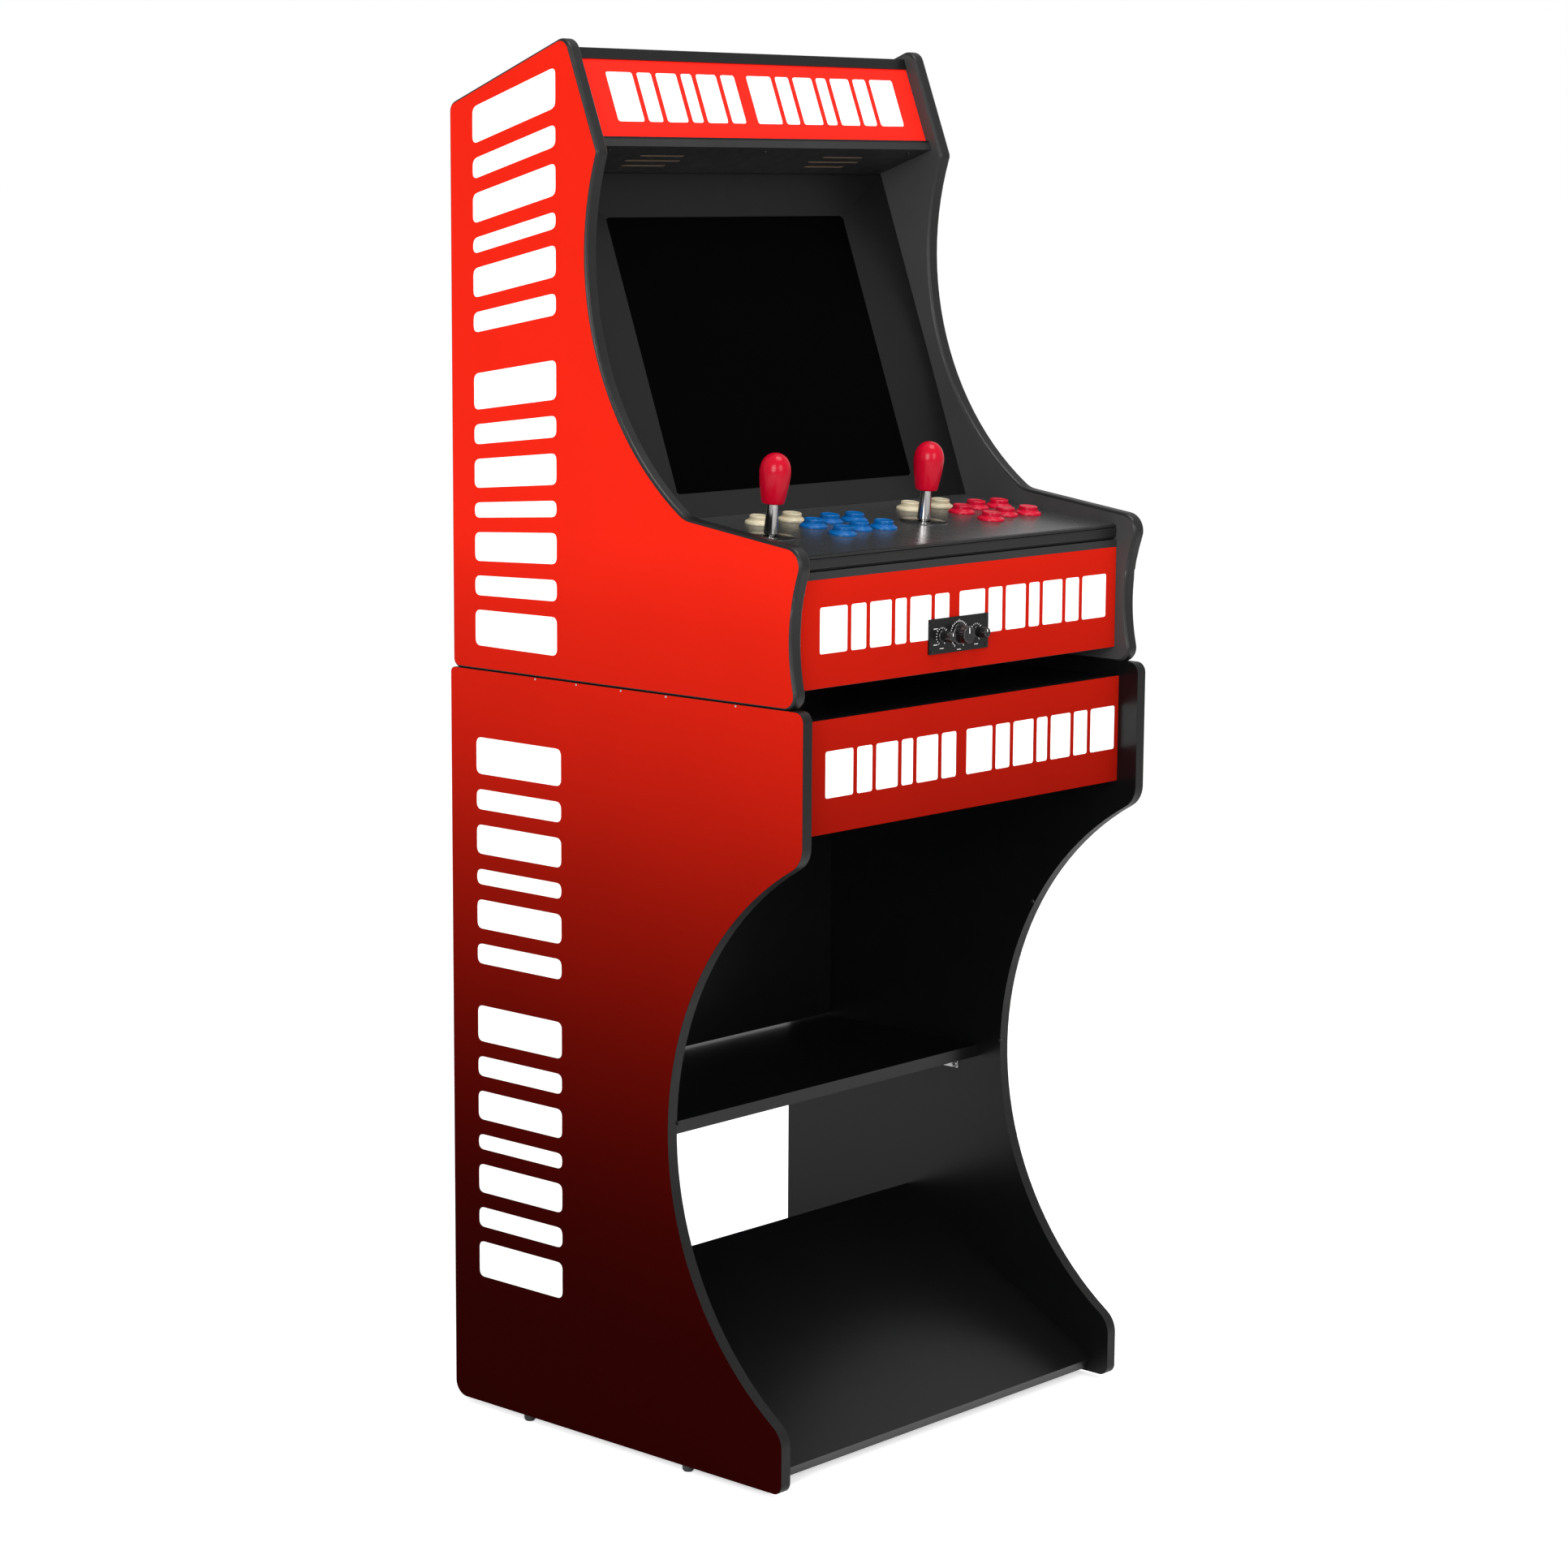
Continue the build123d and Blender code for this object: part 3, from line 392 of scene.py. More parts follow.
def largest_plane(node, towards):
    """Centre and normal of the node's largest flat face that looks roughly towards a direction."""
    areas = {}
    mesh = frame["nodes"][node].data
    for p in mesh.polygons:
        if p.normal.dot(towards) > ROUGHLY_FACING:
            key = (tuple(round(c, 2) for c in p.normal), round(p.center.dot(p.normal), 4))
            area, total = areas.get(key, (0.0, Vector((0, 0, 0))))
            areas[key] = (area + p.area, total + p.center * p.area)
    key = max(areas, key=lambda k: areas[k][0])
    area, total = areas[key]
    normal = next(p.normal for p in mesh.polygons
                  if tuple(round(c, 2) for c in p.normal) == key[0])
    return total / area, normal.copy()


# ---- materials ---------------------------------------------------------------------------


def shader(name, color, roughness, **sockets):
    """A Principled material; further sockets by name, with underscores for spaces."""
    material = bpy.data.materials.new(name)
    material.use_nodes = True
    surface = material.node_tree.nodes["Principled BSDF"]
    surface.inputs["Base Color"].default_value = (*color, 1)
    surface.inputs["Roughness"].default_value = roughness
    for socket, value in sockets.items():
        surface.inputs[socket.replace("_", " ")].default_value = value
    return material


def noise(material, scale, detail=3.0, stretch=(1, 1, 1)):
    """The output of a noise texture in the piece's own space, scale in cells per metre."""
    nodes, links = material.node_tree.nodes, material.node_tree.links
    place = nodes.new("ShaderNodeTexCoord")
    mapping = nodes.new("ShaderNodeMapping")
    mapping.inputs["Scale"].default_value = stretch
    texture = nodes.new("ShaderNodeTexNoise")
    texture.inputs["Scale"].default_value = scale
    texture.inputs["Detail"].default_value = detail
    links.new(place.outputs["Object"], mapping.inputs["Vector"])
    links.new(mapping.outputs["Vector"], texture.inputs["Vector"])
    return texture.outputs["Fac"]


def spread(material, value, low, high):
    """Maps a 0 to 1 value to a range."""
    node = material.node_tree.nodes.new("ShaderNodeMapRange")
    node.inputs["From Min"].default_value = 0.3
    node.inputs["From Max"].default_value = 0.7
    node.inputs["To Min"].default_value = low
    node.inputs["To Max"].default_value = high
    material.node_tree.links.new(value, node.inputs["Value"])
    return node.outputs["Result"]


def connect(material, value, socket):
    """Feeds a value to one of the shader's sockets."""
    surface = material.node_tree.nodes["Principled BSDF"]
    material.node_tree.links.new(value, surface.inputs[socket])


def tint(material, value, dark, light):
    """Base colour that wanders between two colours."""
    mix = material.node_tree.nodes.new("ShaderNodeMix")
    mix.data_type = "RGBA"
    mix.inputs[6].default_value = (*dark, 1)
    mix.inputs[7].default_value = (*light, 1)
    material.node_tree.links.new(value, mix.inputs[0])
    connect(material, mix.outputs[2], "Base Color")


def bump(material, value, depth):
    """Relief of a given depth in millimetres."""
    node = material.node_tree.nodes.new("ShaderNodeBump")
    node.inputs["Strength"].default_value = 1.0
    node.inputs["Distance"].default_value = depth * MM
    material.node_tree.links.new(value, node.inputs["Height"])
    connect(material, node.outputs["Normal"], "Normal")


def moulded(name, color, roughness, grain=700.0, depth=0.05, shift=0.12, wear=0.06, **sockets):
    """A plastic, paint or laminate: slow changes of colour, uneven gloss and a fine grain."""
    material = shader(name, color, roughness, **sockets)
    slow = spread(material, noise(material, 6.0), 0.0, 1.0)
    dark = tuple(c * (1 - shift) for c in color)
    light = tuple(c * (1 + shift) for c in color)
    tint(material, slow, dark, light)
    connect(material, spread(material, noise(material, 45.0), roughness - wear, roughness + wear),
            "Roughness")
    bump(material, noise(material, grain, detail=2.0), depth)
    return material


def red_print(name, roughness=0.42, share=1.0):
    """Printed vinyl whose red fades with height, as one picture over both cabinets; a share below one darkens all
    of it, as painted shade where less light falls.
    """
    material = shader(name, (0.9, 0.02, 0.01), roughness, Specular_IOR_Level=0.004)
    nodes, links = material.node_tree.nodes, material.node_tree.links
    place = nodes.new("ShaderNodeTexCoord")
    split = nodes.new("ShaderNodeSeparateXYZ")
    ramp = nodes.new("ShaderNodeValToRGB")
    reach = nodes.new("ShaderNodeMapRange")
    low, high = RED_STOPS[0][0], RED_STOPS[-1][0]
    reach.inputs["From Min"].default_value = low
    reach.inputs["From Max"].default_value = high
    links.new(place.outputs["Object"], split.inputs["Vector"])
    links.new(split.outputs["Z"], reach.inputs["Value"])
    links.new(reach.outputs["Result"], ramp.inputs["Fac"])
    stops = ramp.color_ramp.elements
    ramp.color_ramp.interpolation = "B_SPLINE"
    while len(stops) < len(RED_STOPS):
        stops.new(0.5)
    for stop, (height, red) in zip(stops, RED_STOPS):
        stop.position = (height - low) / (high - low)
        red = red * share
        stop.color = (red, red * RED_GREEN, red * RED_BLUE, 1)
    blotch = nodes.new("ShaderNodeMix")
    blotch.data_type = "RGBA"
    blotch.blend_type = "MULTIPLY"
    blotch.inputs[0].default_value = 1.0
    cloud = spread(material, noise(material, 9.0, detail=4.0), 0.965, 1.0)
    links.new(ramp.outputs["Color"], blotch.inputs[6])
    links.new(cloud, blotch.inputs[7])
    connect(material, blotch.outputs[2], "Base Color")
    connect(material, spread(material, noise(material, 60.0), roughness - 0.05, roughness + 0.05),
            "Roughness")
    bump(material, noise(material, 900.0, detail=2.0), 0.015)
    return material


def brushed(name, color, roughness, stretch=(1, 1, 30)):
    """Metal with fine scratches along one direction."""
    material = shader(name, color, roughness, Metallic=1.0)
    connect(material, spread(material, noise(material, 160.0, stretch=stretch), roughness * 0.6,
                             roughness * 1.5), "Roughness")
    bump(material, noise(material, 500.0, stretch=stretch), 0.006)
    slow = spread(material, noise(material, 20.0), 0.0, 1.0)
    tint(material, slow, tuple(c * 0.9 for c in color), color)
    return material


def make_materials():
    """Every look by name. Colours are in linear light."""
    return {
        "laminate": moulded("black_laminate", (0.013, 0.013, 0.0135), 0.42, grain=900, depth=0.05,
                            Specular_IOR_Level=0.3),
        # a lighter copy of the black laminate: painted light on the bartop sides' inner faces
        "side_laminate_lit": moulded("side_laminate_lit", (0.036, 0.036, 0.0365), 0.45, grain=900, depth=0.05,
                                 Specular_IOR_Level=0.3),
        # a darker copy of the black laminate: painted shade on the stand's boards
        "stand_laminate_shaded": moulded("stand_laminate_shaded", (0.0020, 0.0021, 0.0024), 0.30, grain=900,
                                  depth=0.001, wear=0.01, Specular_IOR_Level=0.30),
        "bezel": moulded("bezel_black", (0.0025, 0.0025, 0.0026), 0.36, grain=1400, depth=0.008,
                         wear=0.03, Specular_IOR_Level=0.22),
        "raw_edge": moulded("raw_board", (0.09, 0.06, 0.035), 0.8, grain=500, depth=0.2),
        "pine": moulded("sawn_softwood", (0.50, 0.33, 0.18), 0.7, grain=260, depth=0.3),
        "edge_plastic": moulded("edge_plastic", (0.006, 0.006, 0.0058), 0.40, grain=1500, depth=0.05,
                                Specular_IOR_Level=0.27),
        "band_plastic": moulded("band_plastic", (0.005, 0.005, 0.0048), 0.42, grain=1200, depth=0.03,
                                Specular_IOR_Level=0.2),
        "deck_gloss": moulded("deck_overlay", (0.029, 0.0295, 0.0295), 0.27, grain=900, depth=0.002,
                              wear=0.01, Specular_IOR_Level=0.34),
        "red": red_print("red_print"),
        # the same print at 0.70 of its brightness: painted shade on the front boards, which take less light
        "front_red_shaded": red_print("front_red_shaded_print", share=0.70),
        "white": moulded("white_print", (0.93, 0.93, 0.92), 0.5, grain=900, depth=0.01, shift=0.01,
                         Specular_IOR_Level=0.1),
        "acrylic": moulded("marquee_acrylic", (0.80, 0.015, 0.0085), 0.35, grain=60, depth=0.01,
                           shift=0.02, wear=0.04, Specular_IOR_Level=0.03),
        "screen": moulded("screen_glass", (0.0003, 0.0003, 0.0004), 0.35, grain=2500, depth=0.002,
                          wear=0.03, Specular_IOR_Level=0.01),
        "black_plastic": moulded("black_plastic", (0.010, 0.010, 0.0105), 0.38, grain=1200, depth=0.03),
        "washer": moulded("washer_plastic", (0.016, 0.016, 0.016), 0.16, grain=300, depth=0.002,
                          wear=0.02, Specular_IOR_Level=0.28),
        "black_metal": moulded("black_metal", (0.004, 0.004, 0.0043), 0.33, grain=1000, depth=0.02,
                               Coat_Weight=0.05, Specular_IOR_Level=0.2),
        "blue": moulded("blue_plastic", (0.0012, 0.074, 0.245), 0.22, grain=300, depth=0.006, wear=0.03,
                        Specular_IOR_Level=0.2),
        "button_red": moulded("red_plastic", (0.42, 0.003, 0.022), 0.22, grain=300, depth=0.006,
                              wear=0.03, Specular_IOR_Level=0.22),
        "cream": moulded("cream_plastic", (0.445, 0.39, 0.27), 0.26, grain=300, depth=0.01, wear=0.04,
                         Subsurface_Weight=0.12, Subsurface_Scale=0.002),
        "bat": moulded("bat_plastic", (0.37, 0.0012, 0.013), 0.22, grain=250, depth=0.006, wear=0.03,
                       Specular_IOR_Level=0.15),
        "chrome": brushed("chrome", (0.50, 0.49, 0.48), 0.07),
        "steel": brushed("zinc_steel", (0.52, 0.52, 0.53), 0.28),
        "knob": moulded("knob_plastic", (0.003, 0.003, 0.0032), 0.24, grain=900, depth=0.02),
        "ink": moulded("dial_ink", (0.55, 0.55, 0.54), 0.5, grain=900, depth=0.01, shift=0.05),
        # a dark matte look for the screw crosses and the joining spacers: painted shade for the hollows and the
        # seam
        "recess_shade": moulded("screw_recess_shade", (0.012, 0.012, 0.012), 0.75, grain=800, depth=0.1),
        "lamp": moulded("lamp_plastic", (0.75, 0.75, 0.74), 0.45, grain=900, depth=0.02),
        "floor": moulded("floor", (0.90, 0.90, 0.90), 0.6, grain=30, depth=0.2, shift=0.01,
                         Specular_IOR_Level=0.0),
    }


def dress_cad_nodes():
    """A procedural material for each CAD node, and softened edges on its boards."""
    slots = {entry["node"]: entry["material_slot"] for entry in frame["record"]["subparts"]}
    for node, obj in frame["nodes"].items():
        look = NODE_LOOKS.get(node, SLOT_LOOKS[slots[node]])
        obj.data.materials.clear()
        obj.data.materials.append(looks[look])
        if node in BEVELLED:
            bevel(obj, BOARD_ROUND)
    bare_slots(frame["nodes"]["speaker_panel"])


def bare_slots(obj):
    """The sound slots' sawn walls show the board's raw core."""
    mesh = obj.data
    down = largest_plane("speaker_panel", (FRONT - UP).normalized())[1]
    low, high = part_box("speaker_panel")
    mesh.materials.append(looks["raw_edge"])
    edge = SLOT_MARGIN * MM
    for p in mesh.polygons:
        wall = abs(p.normal.dot(down)) < SIDEWAYS
        inside_x = low.x + edge < p.center.x < high.x - edge
        inside_y = low.y + edge < p.center.y < high.y - edge
        if wall and inside_x and inside_y:
            p.material_index = 1


# ---- printed sheets and edge bands -------------------------------------------------------


def bars(length, height, fan=0.0):
    """Outlines of two groups of plain bars that fill a band, about the band's middle.

    The first bar leans by fan degrees and the last one by none.
    """
    shares = BAR_WIDTHS + [None] + BAR_WIDTHS + BAR_WIDTHS[:1]
    gaps = [BAR_GAP * height] * (len(shares) - 3) + [(GROUP_GAP - BAR_GAP) * height]
    scale = (length - sum(gaps)) / sum(share for share in shares if share)
    x = -length / 2
    outlines = []
    for share in shares:
        if share is None:
            x += (GROUP_GAP - BAR_GAP) * height
            continue
        near, far = x, x + share * scale
        leans = [height / 2 * tan(radians(fan * (0.5 - edge / length))) for edge in (near, far)]
        quad = [(near - leans[0], -height / 2), (far - leans[1], -height / 2)]
        quad += [(far + leans[1], height / 2), (near + leans[0], height / 2)]
        outlines.append(rounded_outline(quad, BAR_CORNER * height))
        x = far + BAR_GAP * height
    return outlines


def graphics(name, place, length, height, lift, fan=0.0):
    """A band of white bars, lifted off its place."""
    prisms(name, bars(length, height, fan), lift, lift + INK, place, looks["white"])


def side_artwork():
    """Red sheets on the outer faces, each with a white band of bars that runs downwards."""
    for side, sign in (("left", -1), ("right", 1)):
        out = ACROSS * sign
        for unit in ("stand", "bartop"):
            node = f"{unit}_side_{side}"
            skin(f"{unit}_art_{side}", node, out, looks["red"], SKIN_INSET, SKIN_LIFT, SHEET)
            low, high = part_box(node)
            band = BANDS[unit]
            middle = Vector((high.x if sign > 0 else low.x, band["y"] * MM, band["z"] * MM))
            place = frame_at(middle, -UP, out)
            lean = band["fan"] * sign
            name = f"{unit}_graphics_{side}"
            graphics(name, place, band["length"], band["height"], SHEET + SKIN_LIFT, lean)


def front_artwork():
    """Red sheets on the two upright front boards, and the white bands there and on the marquee."""
    # the front boards take the darker copy of the print: painted shade
    front_red_shaded = looks["front_red_shaded"]
    low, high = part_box("control_front_panel")
    width = (high.x - low.x) / MM - 2 * SKIN_INSET
    tall = CONTROL_PRINT_TOP - low.z / MM - 2 * CONTROL_PRINT_INSET
    middle = low.z + (CONTROL_PRINT_INSET + tall / 2) * MM
    place = frame_at(Vector((0, low.y, middle)), ACROSS, FRONT)
    sheet = rounded_outline(rectangle(width, tall), CONTROL_PRINT_CORNER)
    prisms("control_print", [sheet], SKIN_LIFT, SKIN_LIFT + SHEET, place, front_red_shaded)
    skin("kick_print", "stand_kick_panel", FRONT, front_red_shaded, SKIN_INSET, SKIN_LIFT, SHEET)
    for name, node in (("control", "control_front_panel"), ("kick", "stand_kick_panel")):
        band = BANDS[name]
        low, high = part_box(node)
        place = frame_at(Vector((band["x"] * MM, low.y, band["z"] * MM)), ACROSS, FRONT)
        graphics(f"{name}_graphics", place, band["length"], band["height"], SHEET + SKIN_LIFT)
    centre, normal = largest_plane("marquee_panel", (FRONT + UP * 0.3).normalized())
    low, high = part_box("marquee_panel")
    upward = normal.cross(ACROSS)
    foot = centre - upward * ((centre.z - low.z) / upward.z)
    band = BANDS["marquee"]
    middle = foot + upward * (band["up"] + MARQUEE_FOOT_COVER) * MM + ACROSS * band["x"] * MM
    place = frame_at(middle, ACROSS, normal)
    graphics("marquee_graphics", place, band["length"], band["height"], SKIN_LIFT)


def edge_bands():
    """Plastic bands round both stand sides."""
    for side in ("left", "right"):
        edge_band(f"stand_edge_band_{side}", f"stand_side_{side}", looks["band_plastic"])


# ---- deck, buttons and sticks ------------------------------------------------------------


def joint(name):
    """A joint's facts, by its name."""
    return next(j for j in frame["joints"] if j["name"] == name)


def deck_place(point):
    """A placement on the deck's surface, above or below a point, with local z out of the deck."""
    drop = (point - deck_point).dot(deck_out)
    return frame_at(point - deck_out * drop, ACROSS, deck_out)


def top_of(node):
    """The middle of a turned node's highest ring along the deck's normal."""
    points = [v.co for v in frame["nodes"][node].data.vertices]
    top = max(p.dot(deck_out) for p in points)
    ring = [p for p in points if p.dot(deck_out) > top - SAME_PLANE * MM]
    return sum(ring, Vector((0, 0, 0))) / len(ring)


def deck_overlay():
    """The glossy sheet on the deck."""
    gloss = looks["deck_gloss"]
    skin("deck_overlay", "control_deck", deck_out, gloss, DECK_SHEET_INSET, SKIN_LIFT, DECK_SHEET)


def push_buttons():
    """Rims, barrels and caps, each in its own colour, in place of the plain turned solids."""
    rim = curve_through(RIM_PROFILE) + BARREL
    cap = curve_through(CAP_PROFILE) + CAP_SKIRT[1:]
    for node in sorted(n for n in frame["nodes"] if n.endswith("_plunger")):
        body = node.removesuffix("_plunger")
        color = "cream" if "menu" in node else ("blue" if node.startswith("p1") else "button_red")
        place = deck_place(top_of(node))
        lathe(f"{body}_rim", rim, place, looks[color])
        piece = lathe(f"{body}_cap", cap, place, looks[color], body=body)
        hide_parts(node)
        nut = lathe(f"{body}_nut", NUT_PROFILE, place, looks["black_plastic"], closed=True,
                    flutes=NUT_FLUTES)
    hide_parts("button_bodies")


def sticks():
    """Bat tops and chromed shafts that ride on the sticks, and the fixed dust washers."""
    bat = curve_through(BAT_PROFILE, steps=5)
    for player in ("p1", "p2"):
        place = deck_place(Vector(joint(f"{player}_stick_push")["pos_m"]))
        body = f"{player}_stick"
        top = lathe(f"{player}_bat_top", bat, place, looks["bat"], body=body)
        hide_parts(f"{player}_bat")
        rod = lathe(f"{player}_rod", ROD_PROFILE, place, looks["chrome"], body=body)
        pivot = place @ Matrix.Translation((0, 0, -PIN_DEPTH * MM)) @ Matrix.Rotation(pi / 2, 4, "X")
        pin = lathe(f"{player}_pin", PIN_PROFILE, pivot, looks["chrome"], body=body, segments=24)
        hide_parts(f"{player}_shaft")
        lathe(f"{player}_washer", WASHER_PROFILE, place, looks["washer"], closed=True)
    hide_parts("dust_washers")


# ---- amplifier ---------------------------------------------------------------------------


def amplifier_front():
    """Faceplate marks, dial rings and the three knobs."""
    low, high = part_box("amplifier")
    face = largest_plane("amplifier", FRONT)[0].y
    for name, (radius, tall) in KNOBS.items():
        at = Vector(joint(f"{name}_turn")["pos_m"])
        place = frame_at(Vector((at.x, face, at.z)), ACROSS, FRONT)
        knob(name, radius, tall, place)
        dial_marks(name, radius, place)
    middle = Vector(((low.x + high.x) / 2, face, (low.z + high.z) / 2))
    place = frame_at(middle, ACROSS, FRONT)
    dashes = [rectangle(*PLATE_DASH, at) for at in PLATE_DASHES]
    prisms("amplifier_marks", dashes, 0.0, PLATE_INK, place, looks["ink"])
    for n, (x, y) in enumerate(PLATE_SCREWS):
        at = place @ Matrix.Translation((x * MM, y * MM, 0))
        screw(f"amplifier_screw_{n}", at, PLATE_SCREW, "black_metal")


def knob(name, radius, tall, place):
    """A fluted knob with a skirt and a white pointer line."""
    body = f"{name}_knob"
    r = radius
    skirt = [(0, 0.5), (r, 0.5), (r, 1.6), (r * 0.97, 2.1), (r * 0.86, 2.7), (0, 2.7)]
    grip = [(0, 2.5), (r * 0.84, 2.5), (r * 0.80, tall - 1.2), (r * 0.76, tall - 0.35), (r * 0.70, tall),
            (r * 0.66, tall), (r * 0.62, tall - 0.4), (0, tall - 0.4)]
    base = lathe(f"{name}_knob_skirt", skirt, place, looks["knob"], body=body)
    fluted = lathe(f"{name}_knob_grip", grip, place, looks["knob"], body=body,
                   segments=KNOB_SEGMENTS, flutes=KNOB_FLUTES)
    line = rounded_outline(rectangle(POINTER_WIDE, r * 0.62, (0, r * 0.42)), POINTER_CORNER)
    foot, face = tall - POINTER_FOOT, tall - POINTER_FACE
    pointer = prisms(f"{name}_pointer", [line], foot, face, place, looks["white"], body)
    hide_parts(body)


def dial_marks(name, radius, place):
    """Tick marks round a knob, over the knob's own sweep."""
    count, wide = LARGE_DIAL if radius > LARGE_KNOB else SMALL_DIAL
    marks = []
    for i in range(count):
        angle = radians(90 + DIAL_SWEEP - 2 * DIAL_SWEEP * i / (count - 1))
        inner = radius + DIAL_GAP
        outer = inner + (SHORT_MARK if i % LONG_MARK_EVERY else LONG_MARK)
        along, side = Vector((cos(angle), sin(angle))), Vector((-sin(angle), cos(angle))) * wide
        a, b = along * inner, along * outer
        marks.append([tuple(a - side), tuple(b - side), tuple(b + side), tuple(a + side)])
    prisms(f"{name}_dial", marks, 0.0, PLATE_INK, place, looks["ink"])


# ---- small hardware ----------------------------------------------------------------------


def screw(name, place, radius, look="steel"):
    """A pan head with a dark cross on top, painted shade for its cross-head hollow, standing on the local z of
    place.
    """
    r = radius
    head = [(0, 0.0), (r, 0.0), (r, 0.25 * r), (r * 0.9, 0.42 * r), (r * 0.55, 0.56 * r), (0, 0.6 * r)]
    lathe(name, head, place, looks[look], segments=24)
    arms = [rectangle(1.1 * r, 0.26 * r), rectangle(0.26 * r, 1.1 * r)]
    # the dark cross stands a hair above the head: painted shade where the cross-head's hollow would be
    prisms(f"{name}_cross", arms, 0.45 * r, 0.615 * r, place, looks["recess_shade"])


def speaker_screws():
    """Screws along the speaker board's front edge."""
    centre, normal = largest_plane("speaker_panel", (FRONT - UP).normalized())
    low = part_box("speaker_panel")[0]
    backward = ACROSS.cross(normal)
    backward = backward if backward.y > 0 else -backward
    front_edge = centre + backward * ((low.y - centre.y) / backward.y)
    for n, x in enumerate(SOFFIT_SCREWS_X):
        at = front_edge + backward * SOFFIT_SCREW_BACK * MM + ACROSS * x * MM
        screw(f"speaker_panel_screw_{n}", frame_at(at, ACROSS, normal), SOFFIT_SCREW, "black_metal")


def rear_screws():
    """Screws down both edges of the rear panel."""
    low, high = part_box("rear_service_panel")
    inset = REAR_SCREW_INSET * MM
    heights = [low.z + inset, (low.z + high.z) / 2, high.z - inset]
    for n, (x, z) in enumerate((x, z) for x in REAR_SCREWS_X for z in heights):
        at = Vector((x * MM, high.y, z))
        screw(f"rear_panel_screw_{n}", frame_at(at, ACROSS, -FRONT), REAR_SCREW, "black_metal")


def screw_caps():
    """Small plastic caps over the screws on the stand's inner faces."""
    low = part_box("stand_side_right")[0]
    for sign, side in ((1, "right"), (-1, "left")):
        for n, (y, z) in enumerate(CAP_PLACES):
            at = Vector((sign * low.x, y * MM, z * MM))
            place = frame_at(at, UP, -ACROSS * sign)
            lathe(f"screw_cap_{side}_{n}", SCREW_CAP_PROFILE, place, looks["black_plastic"], segments=32)


def bracket_screws():
    """A bright pan head at the outer foot of each shelf bracket."""
    low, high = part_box("shelf_brackets")
    inset, drop = BRACKET_SCREW_AT
    for sign, side in ((-1, "left"), (1, "right")):
        for y, end in ((low.y + inset * MM, "front"), (high.y - inset * MM, "back")):
            at = Vector((sign * (high.x - BRACKET_SHEET * MM), y, low.z + drop * MM))
            place = frame_at(at, UP, -ACROSS * sign)
            screw(f"bracket_screw_{side}_{end}", place, BRACKET_SCREW)


def seam_brads():
    """Small bright brad heads along the top of each stand side, just under the seam."""
    for sign, side in ((-1, "left"), (1, "right")):
        low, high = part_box(f"stand_side_{side}")
        x = low.x if sign < 0 else high.x
        for n, y in enumerate(BRADS_Y):
            place = frame_at(Vector((x, y * MM, high.z - BRAD_DROP * MM)), -UP, ACROSS * sign)
            lathe(f"seam_brad_{side}_{n}", BRAD_PROFILE, place, looks["steel"], segments=16)


def screen_glass():
    """The dark glass that fills the bezel's window."""
    centre, normal = largest_plane("monitor", (FRONT + UP * 0.35).normalized())
    place = frame_at(centre, ACROSS, normal)
    outline = rounded_outline(rectangle(SCREEN_WIDTH, SCREEN_HEIGHT), SCREEN_CORNER)
    piece = prisms("screen_glass", [outline], 0.0, SCREEN_THICK, place, looks["screen"])


# ---- stage -------------------------------------------------------------------------------


def area_light(name, at, target, size, power):
    """A round soft lamp, aimed at a point."""
    light = bpy.data.lights.new(name, "AREA")
    light.shape = "DISK"
    light.size = size
    light.energy = power
    lamp = bpy.data.objects.new(name, light)
    bpy.context.scene.collection.objects.link(lamp)
    lamp.location = at
    lamp.rotation_euler = (Vector(target) - Vector(at)).to_track_quat("-Z", "Y").to_euler()


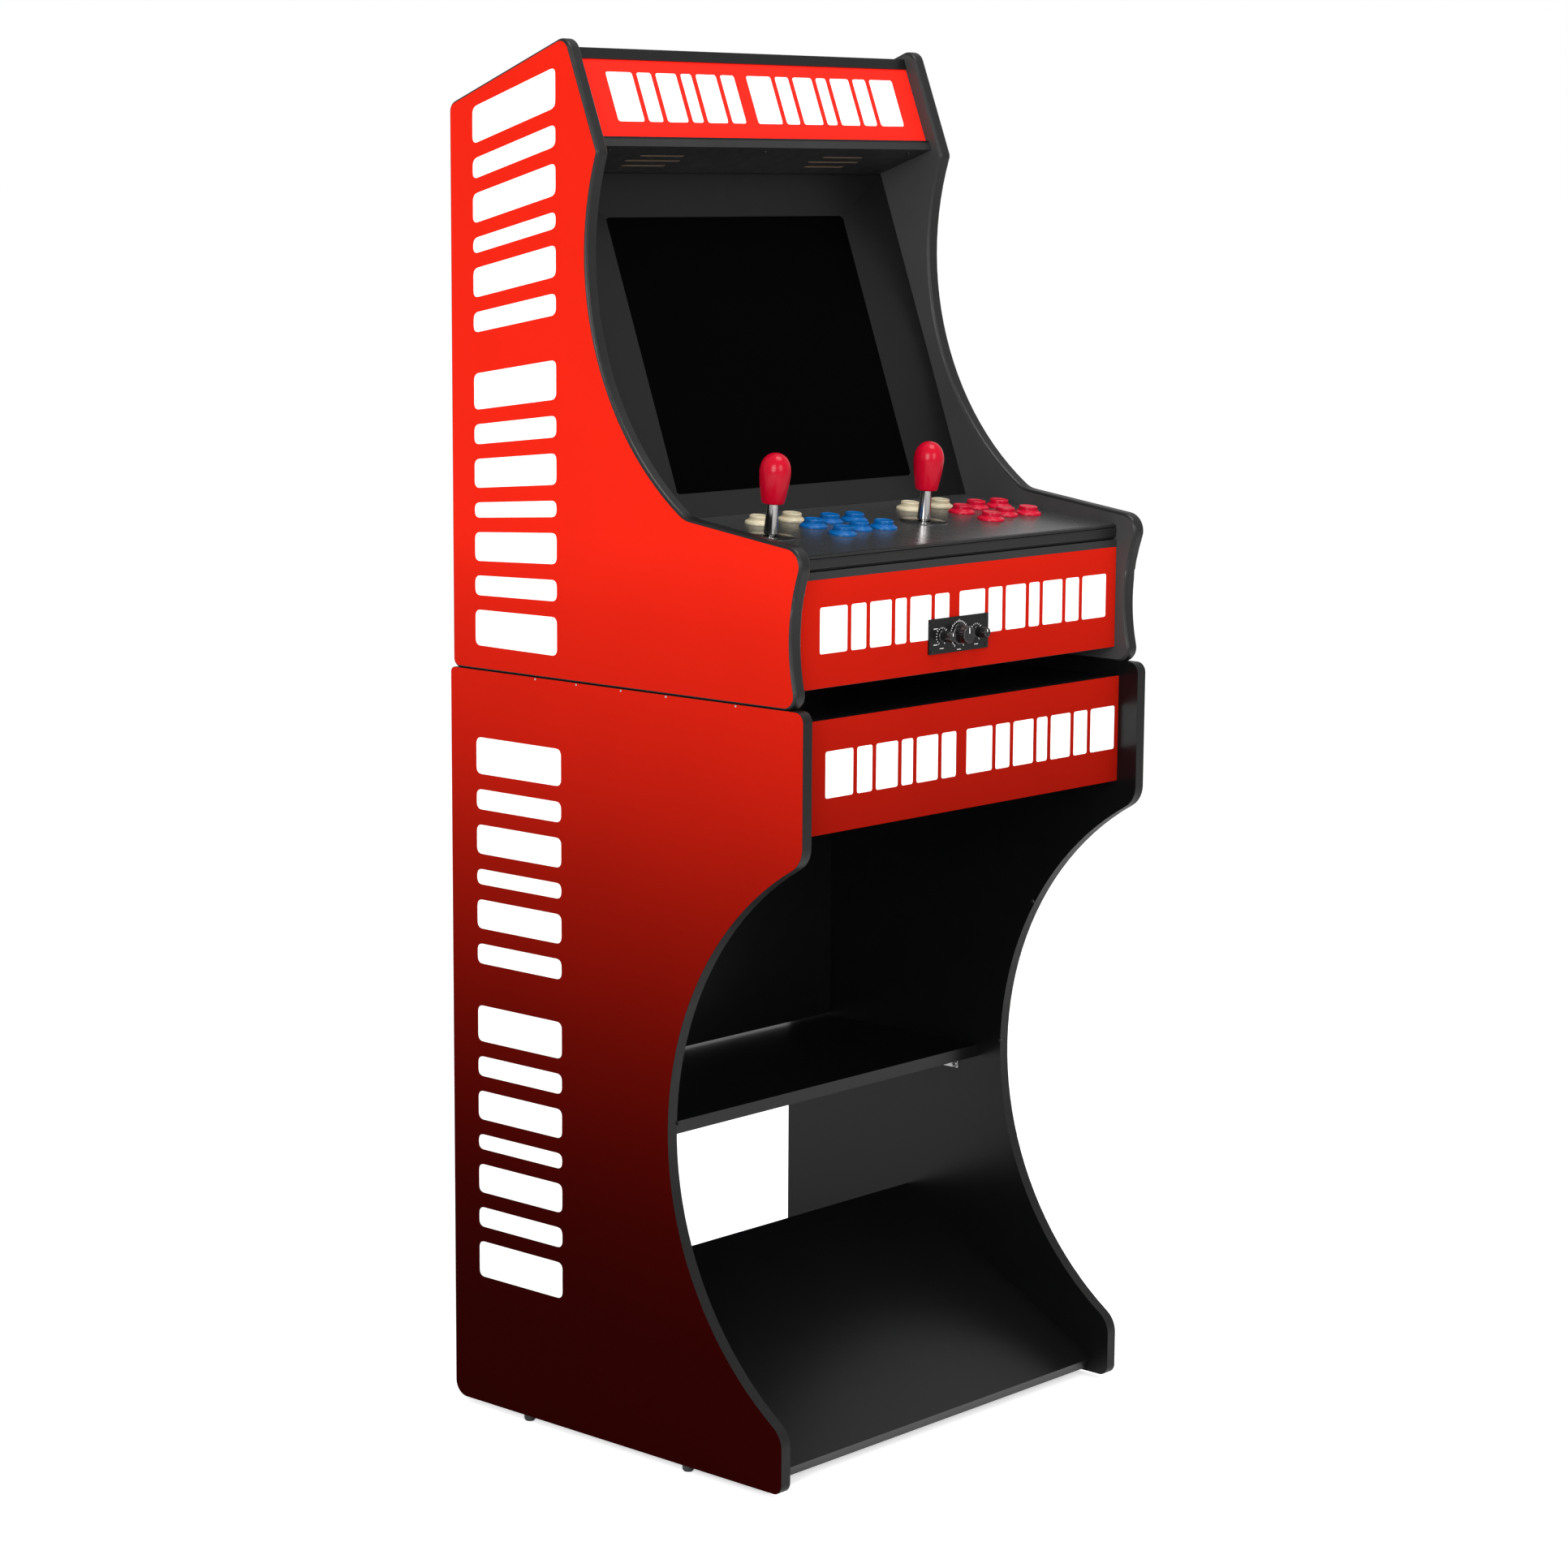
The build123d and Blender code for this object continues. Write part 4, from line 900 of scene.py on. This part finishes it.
def stage():
    """A pale floor, an even white sky, and soft lamps at the left, the front and above."""
    mesh = bpy.data.meshes.new("floor")
    half = FLOOR_SIZE / 2
    mesh.from_pydata([(-half, -half, 0), (half, -half, 0), (half, half, 0), (-half, half, 0)], [],
                     [(0, 1, 2, 3)])
    floor = bpy.data.objects.new("floor", mesh)
    bpy.context.scene.collection.objects.link(floor)
    mesh.materials.append(looks["floor"])
    world = bpy.data.worlds.new("sky")
    world.use_nodes = True
    background = world.node_tree.nodes["Background"]
    background.inputs["Color"].default_value = (1, 1, 1, 1)
    seen = camera_share(world.node_tree, SKY_LIGHT, SKY_SEEN)
    world.node_tree.links.new(seen, background.inputs["Strength"])
    bpy.context.scene.world = world
    lifted = camera_share(looks["floor"].node_tree, 0.0, FLOOR_LIFT)
    looks["floor"].node_tree.nodes["Principled BSDF"].inputs["Emission Color"].default_value = (1, 1, 1, 1)
    connect(looks["floor"], lifted, "Emission Strength")
    for name, at, size, power in LAMPS:
        area_light(name, at, LAMPS_AIM, size, power)
    bpy.context.scene.view_settings.view_transform = "Standard"


def camera_share(tree, otherwise, to_camera):
    """One value for what the camera sees directly, another for all other light."""
    path = tree.nodes.new("ShaderNodeLightPath")
    node = tree.nodes.new("ShaderNodeMapRange")
    node.inputs["To Min"].default_value = otherwise
    node.inputs["To Max"].default_value = to_camera
    tree.links.new(path.outputs["Is Camera Ray"], node.inputs["Value"])
    return node.outputs["Result"]


def camera():
    """A lens at the front left, a little above the deck."""
    data = bpy.data.cameras.new("camera")
    data.lens = LENS
    data.sensor_width = SENSOR
    data.clip_end = FARTHEST
    view = bpy.data.objects.new("camera", data)
    bpy.context.scene.collection.objects.link(view)
    look = (Vector(CAMERA_TARGET) - Vector(CAMERA_AT)).to_track_quat("-Z", "Y")
    roll = Matrix.Rotation(radians(CAMERA_ROLL), 4, "Z")
    view.matrix_world = Matrix.Translation(CAMERA_AT) @ look.to_matrix().to_4x4() @ roll
    bpy.context.scene.camera = view


# ---- the scene ---------------------------------------------------------------------------

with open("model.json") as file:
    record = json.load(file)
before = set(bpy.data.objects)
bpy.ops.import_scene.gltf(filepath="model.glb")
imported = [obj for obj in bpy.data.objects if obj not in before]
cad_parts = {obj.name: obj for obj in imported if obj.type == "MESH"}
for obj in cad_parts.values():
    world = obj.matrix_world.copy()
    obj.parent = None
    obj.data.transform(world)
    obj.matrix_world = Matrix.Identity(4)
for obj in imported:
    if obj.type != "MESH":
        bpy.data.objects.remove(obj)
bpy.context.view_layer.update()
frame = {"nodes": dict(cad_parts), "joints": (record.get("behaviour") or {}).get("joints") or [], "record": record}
camera()
looks = make_materials()
deck_out = -Vector(joint("p1_fire1_press")["axis"]).normalized()
deck_point = max((v.co for v in frame["nodes"]["control_deck"].data.vertices),
                 key=lambda p: p.dot(deck_out)).copy()
dress_cad_nodes()
side_artwork()
front_artwork()
edge_bands()
deck_overlay()
push_buttons()
sticks()
amplifier_front()
speaker_screws()
rear_screws()
screw_caps()
bracket_screws()
seam_brads()
screen_glass()
stage()
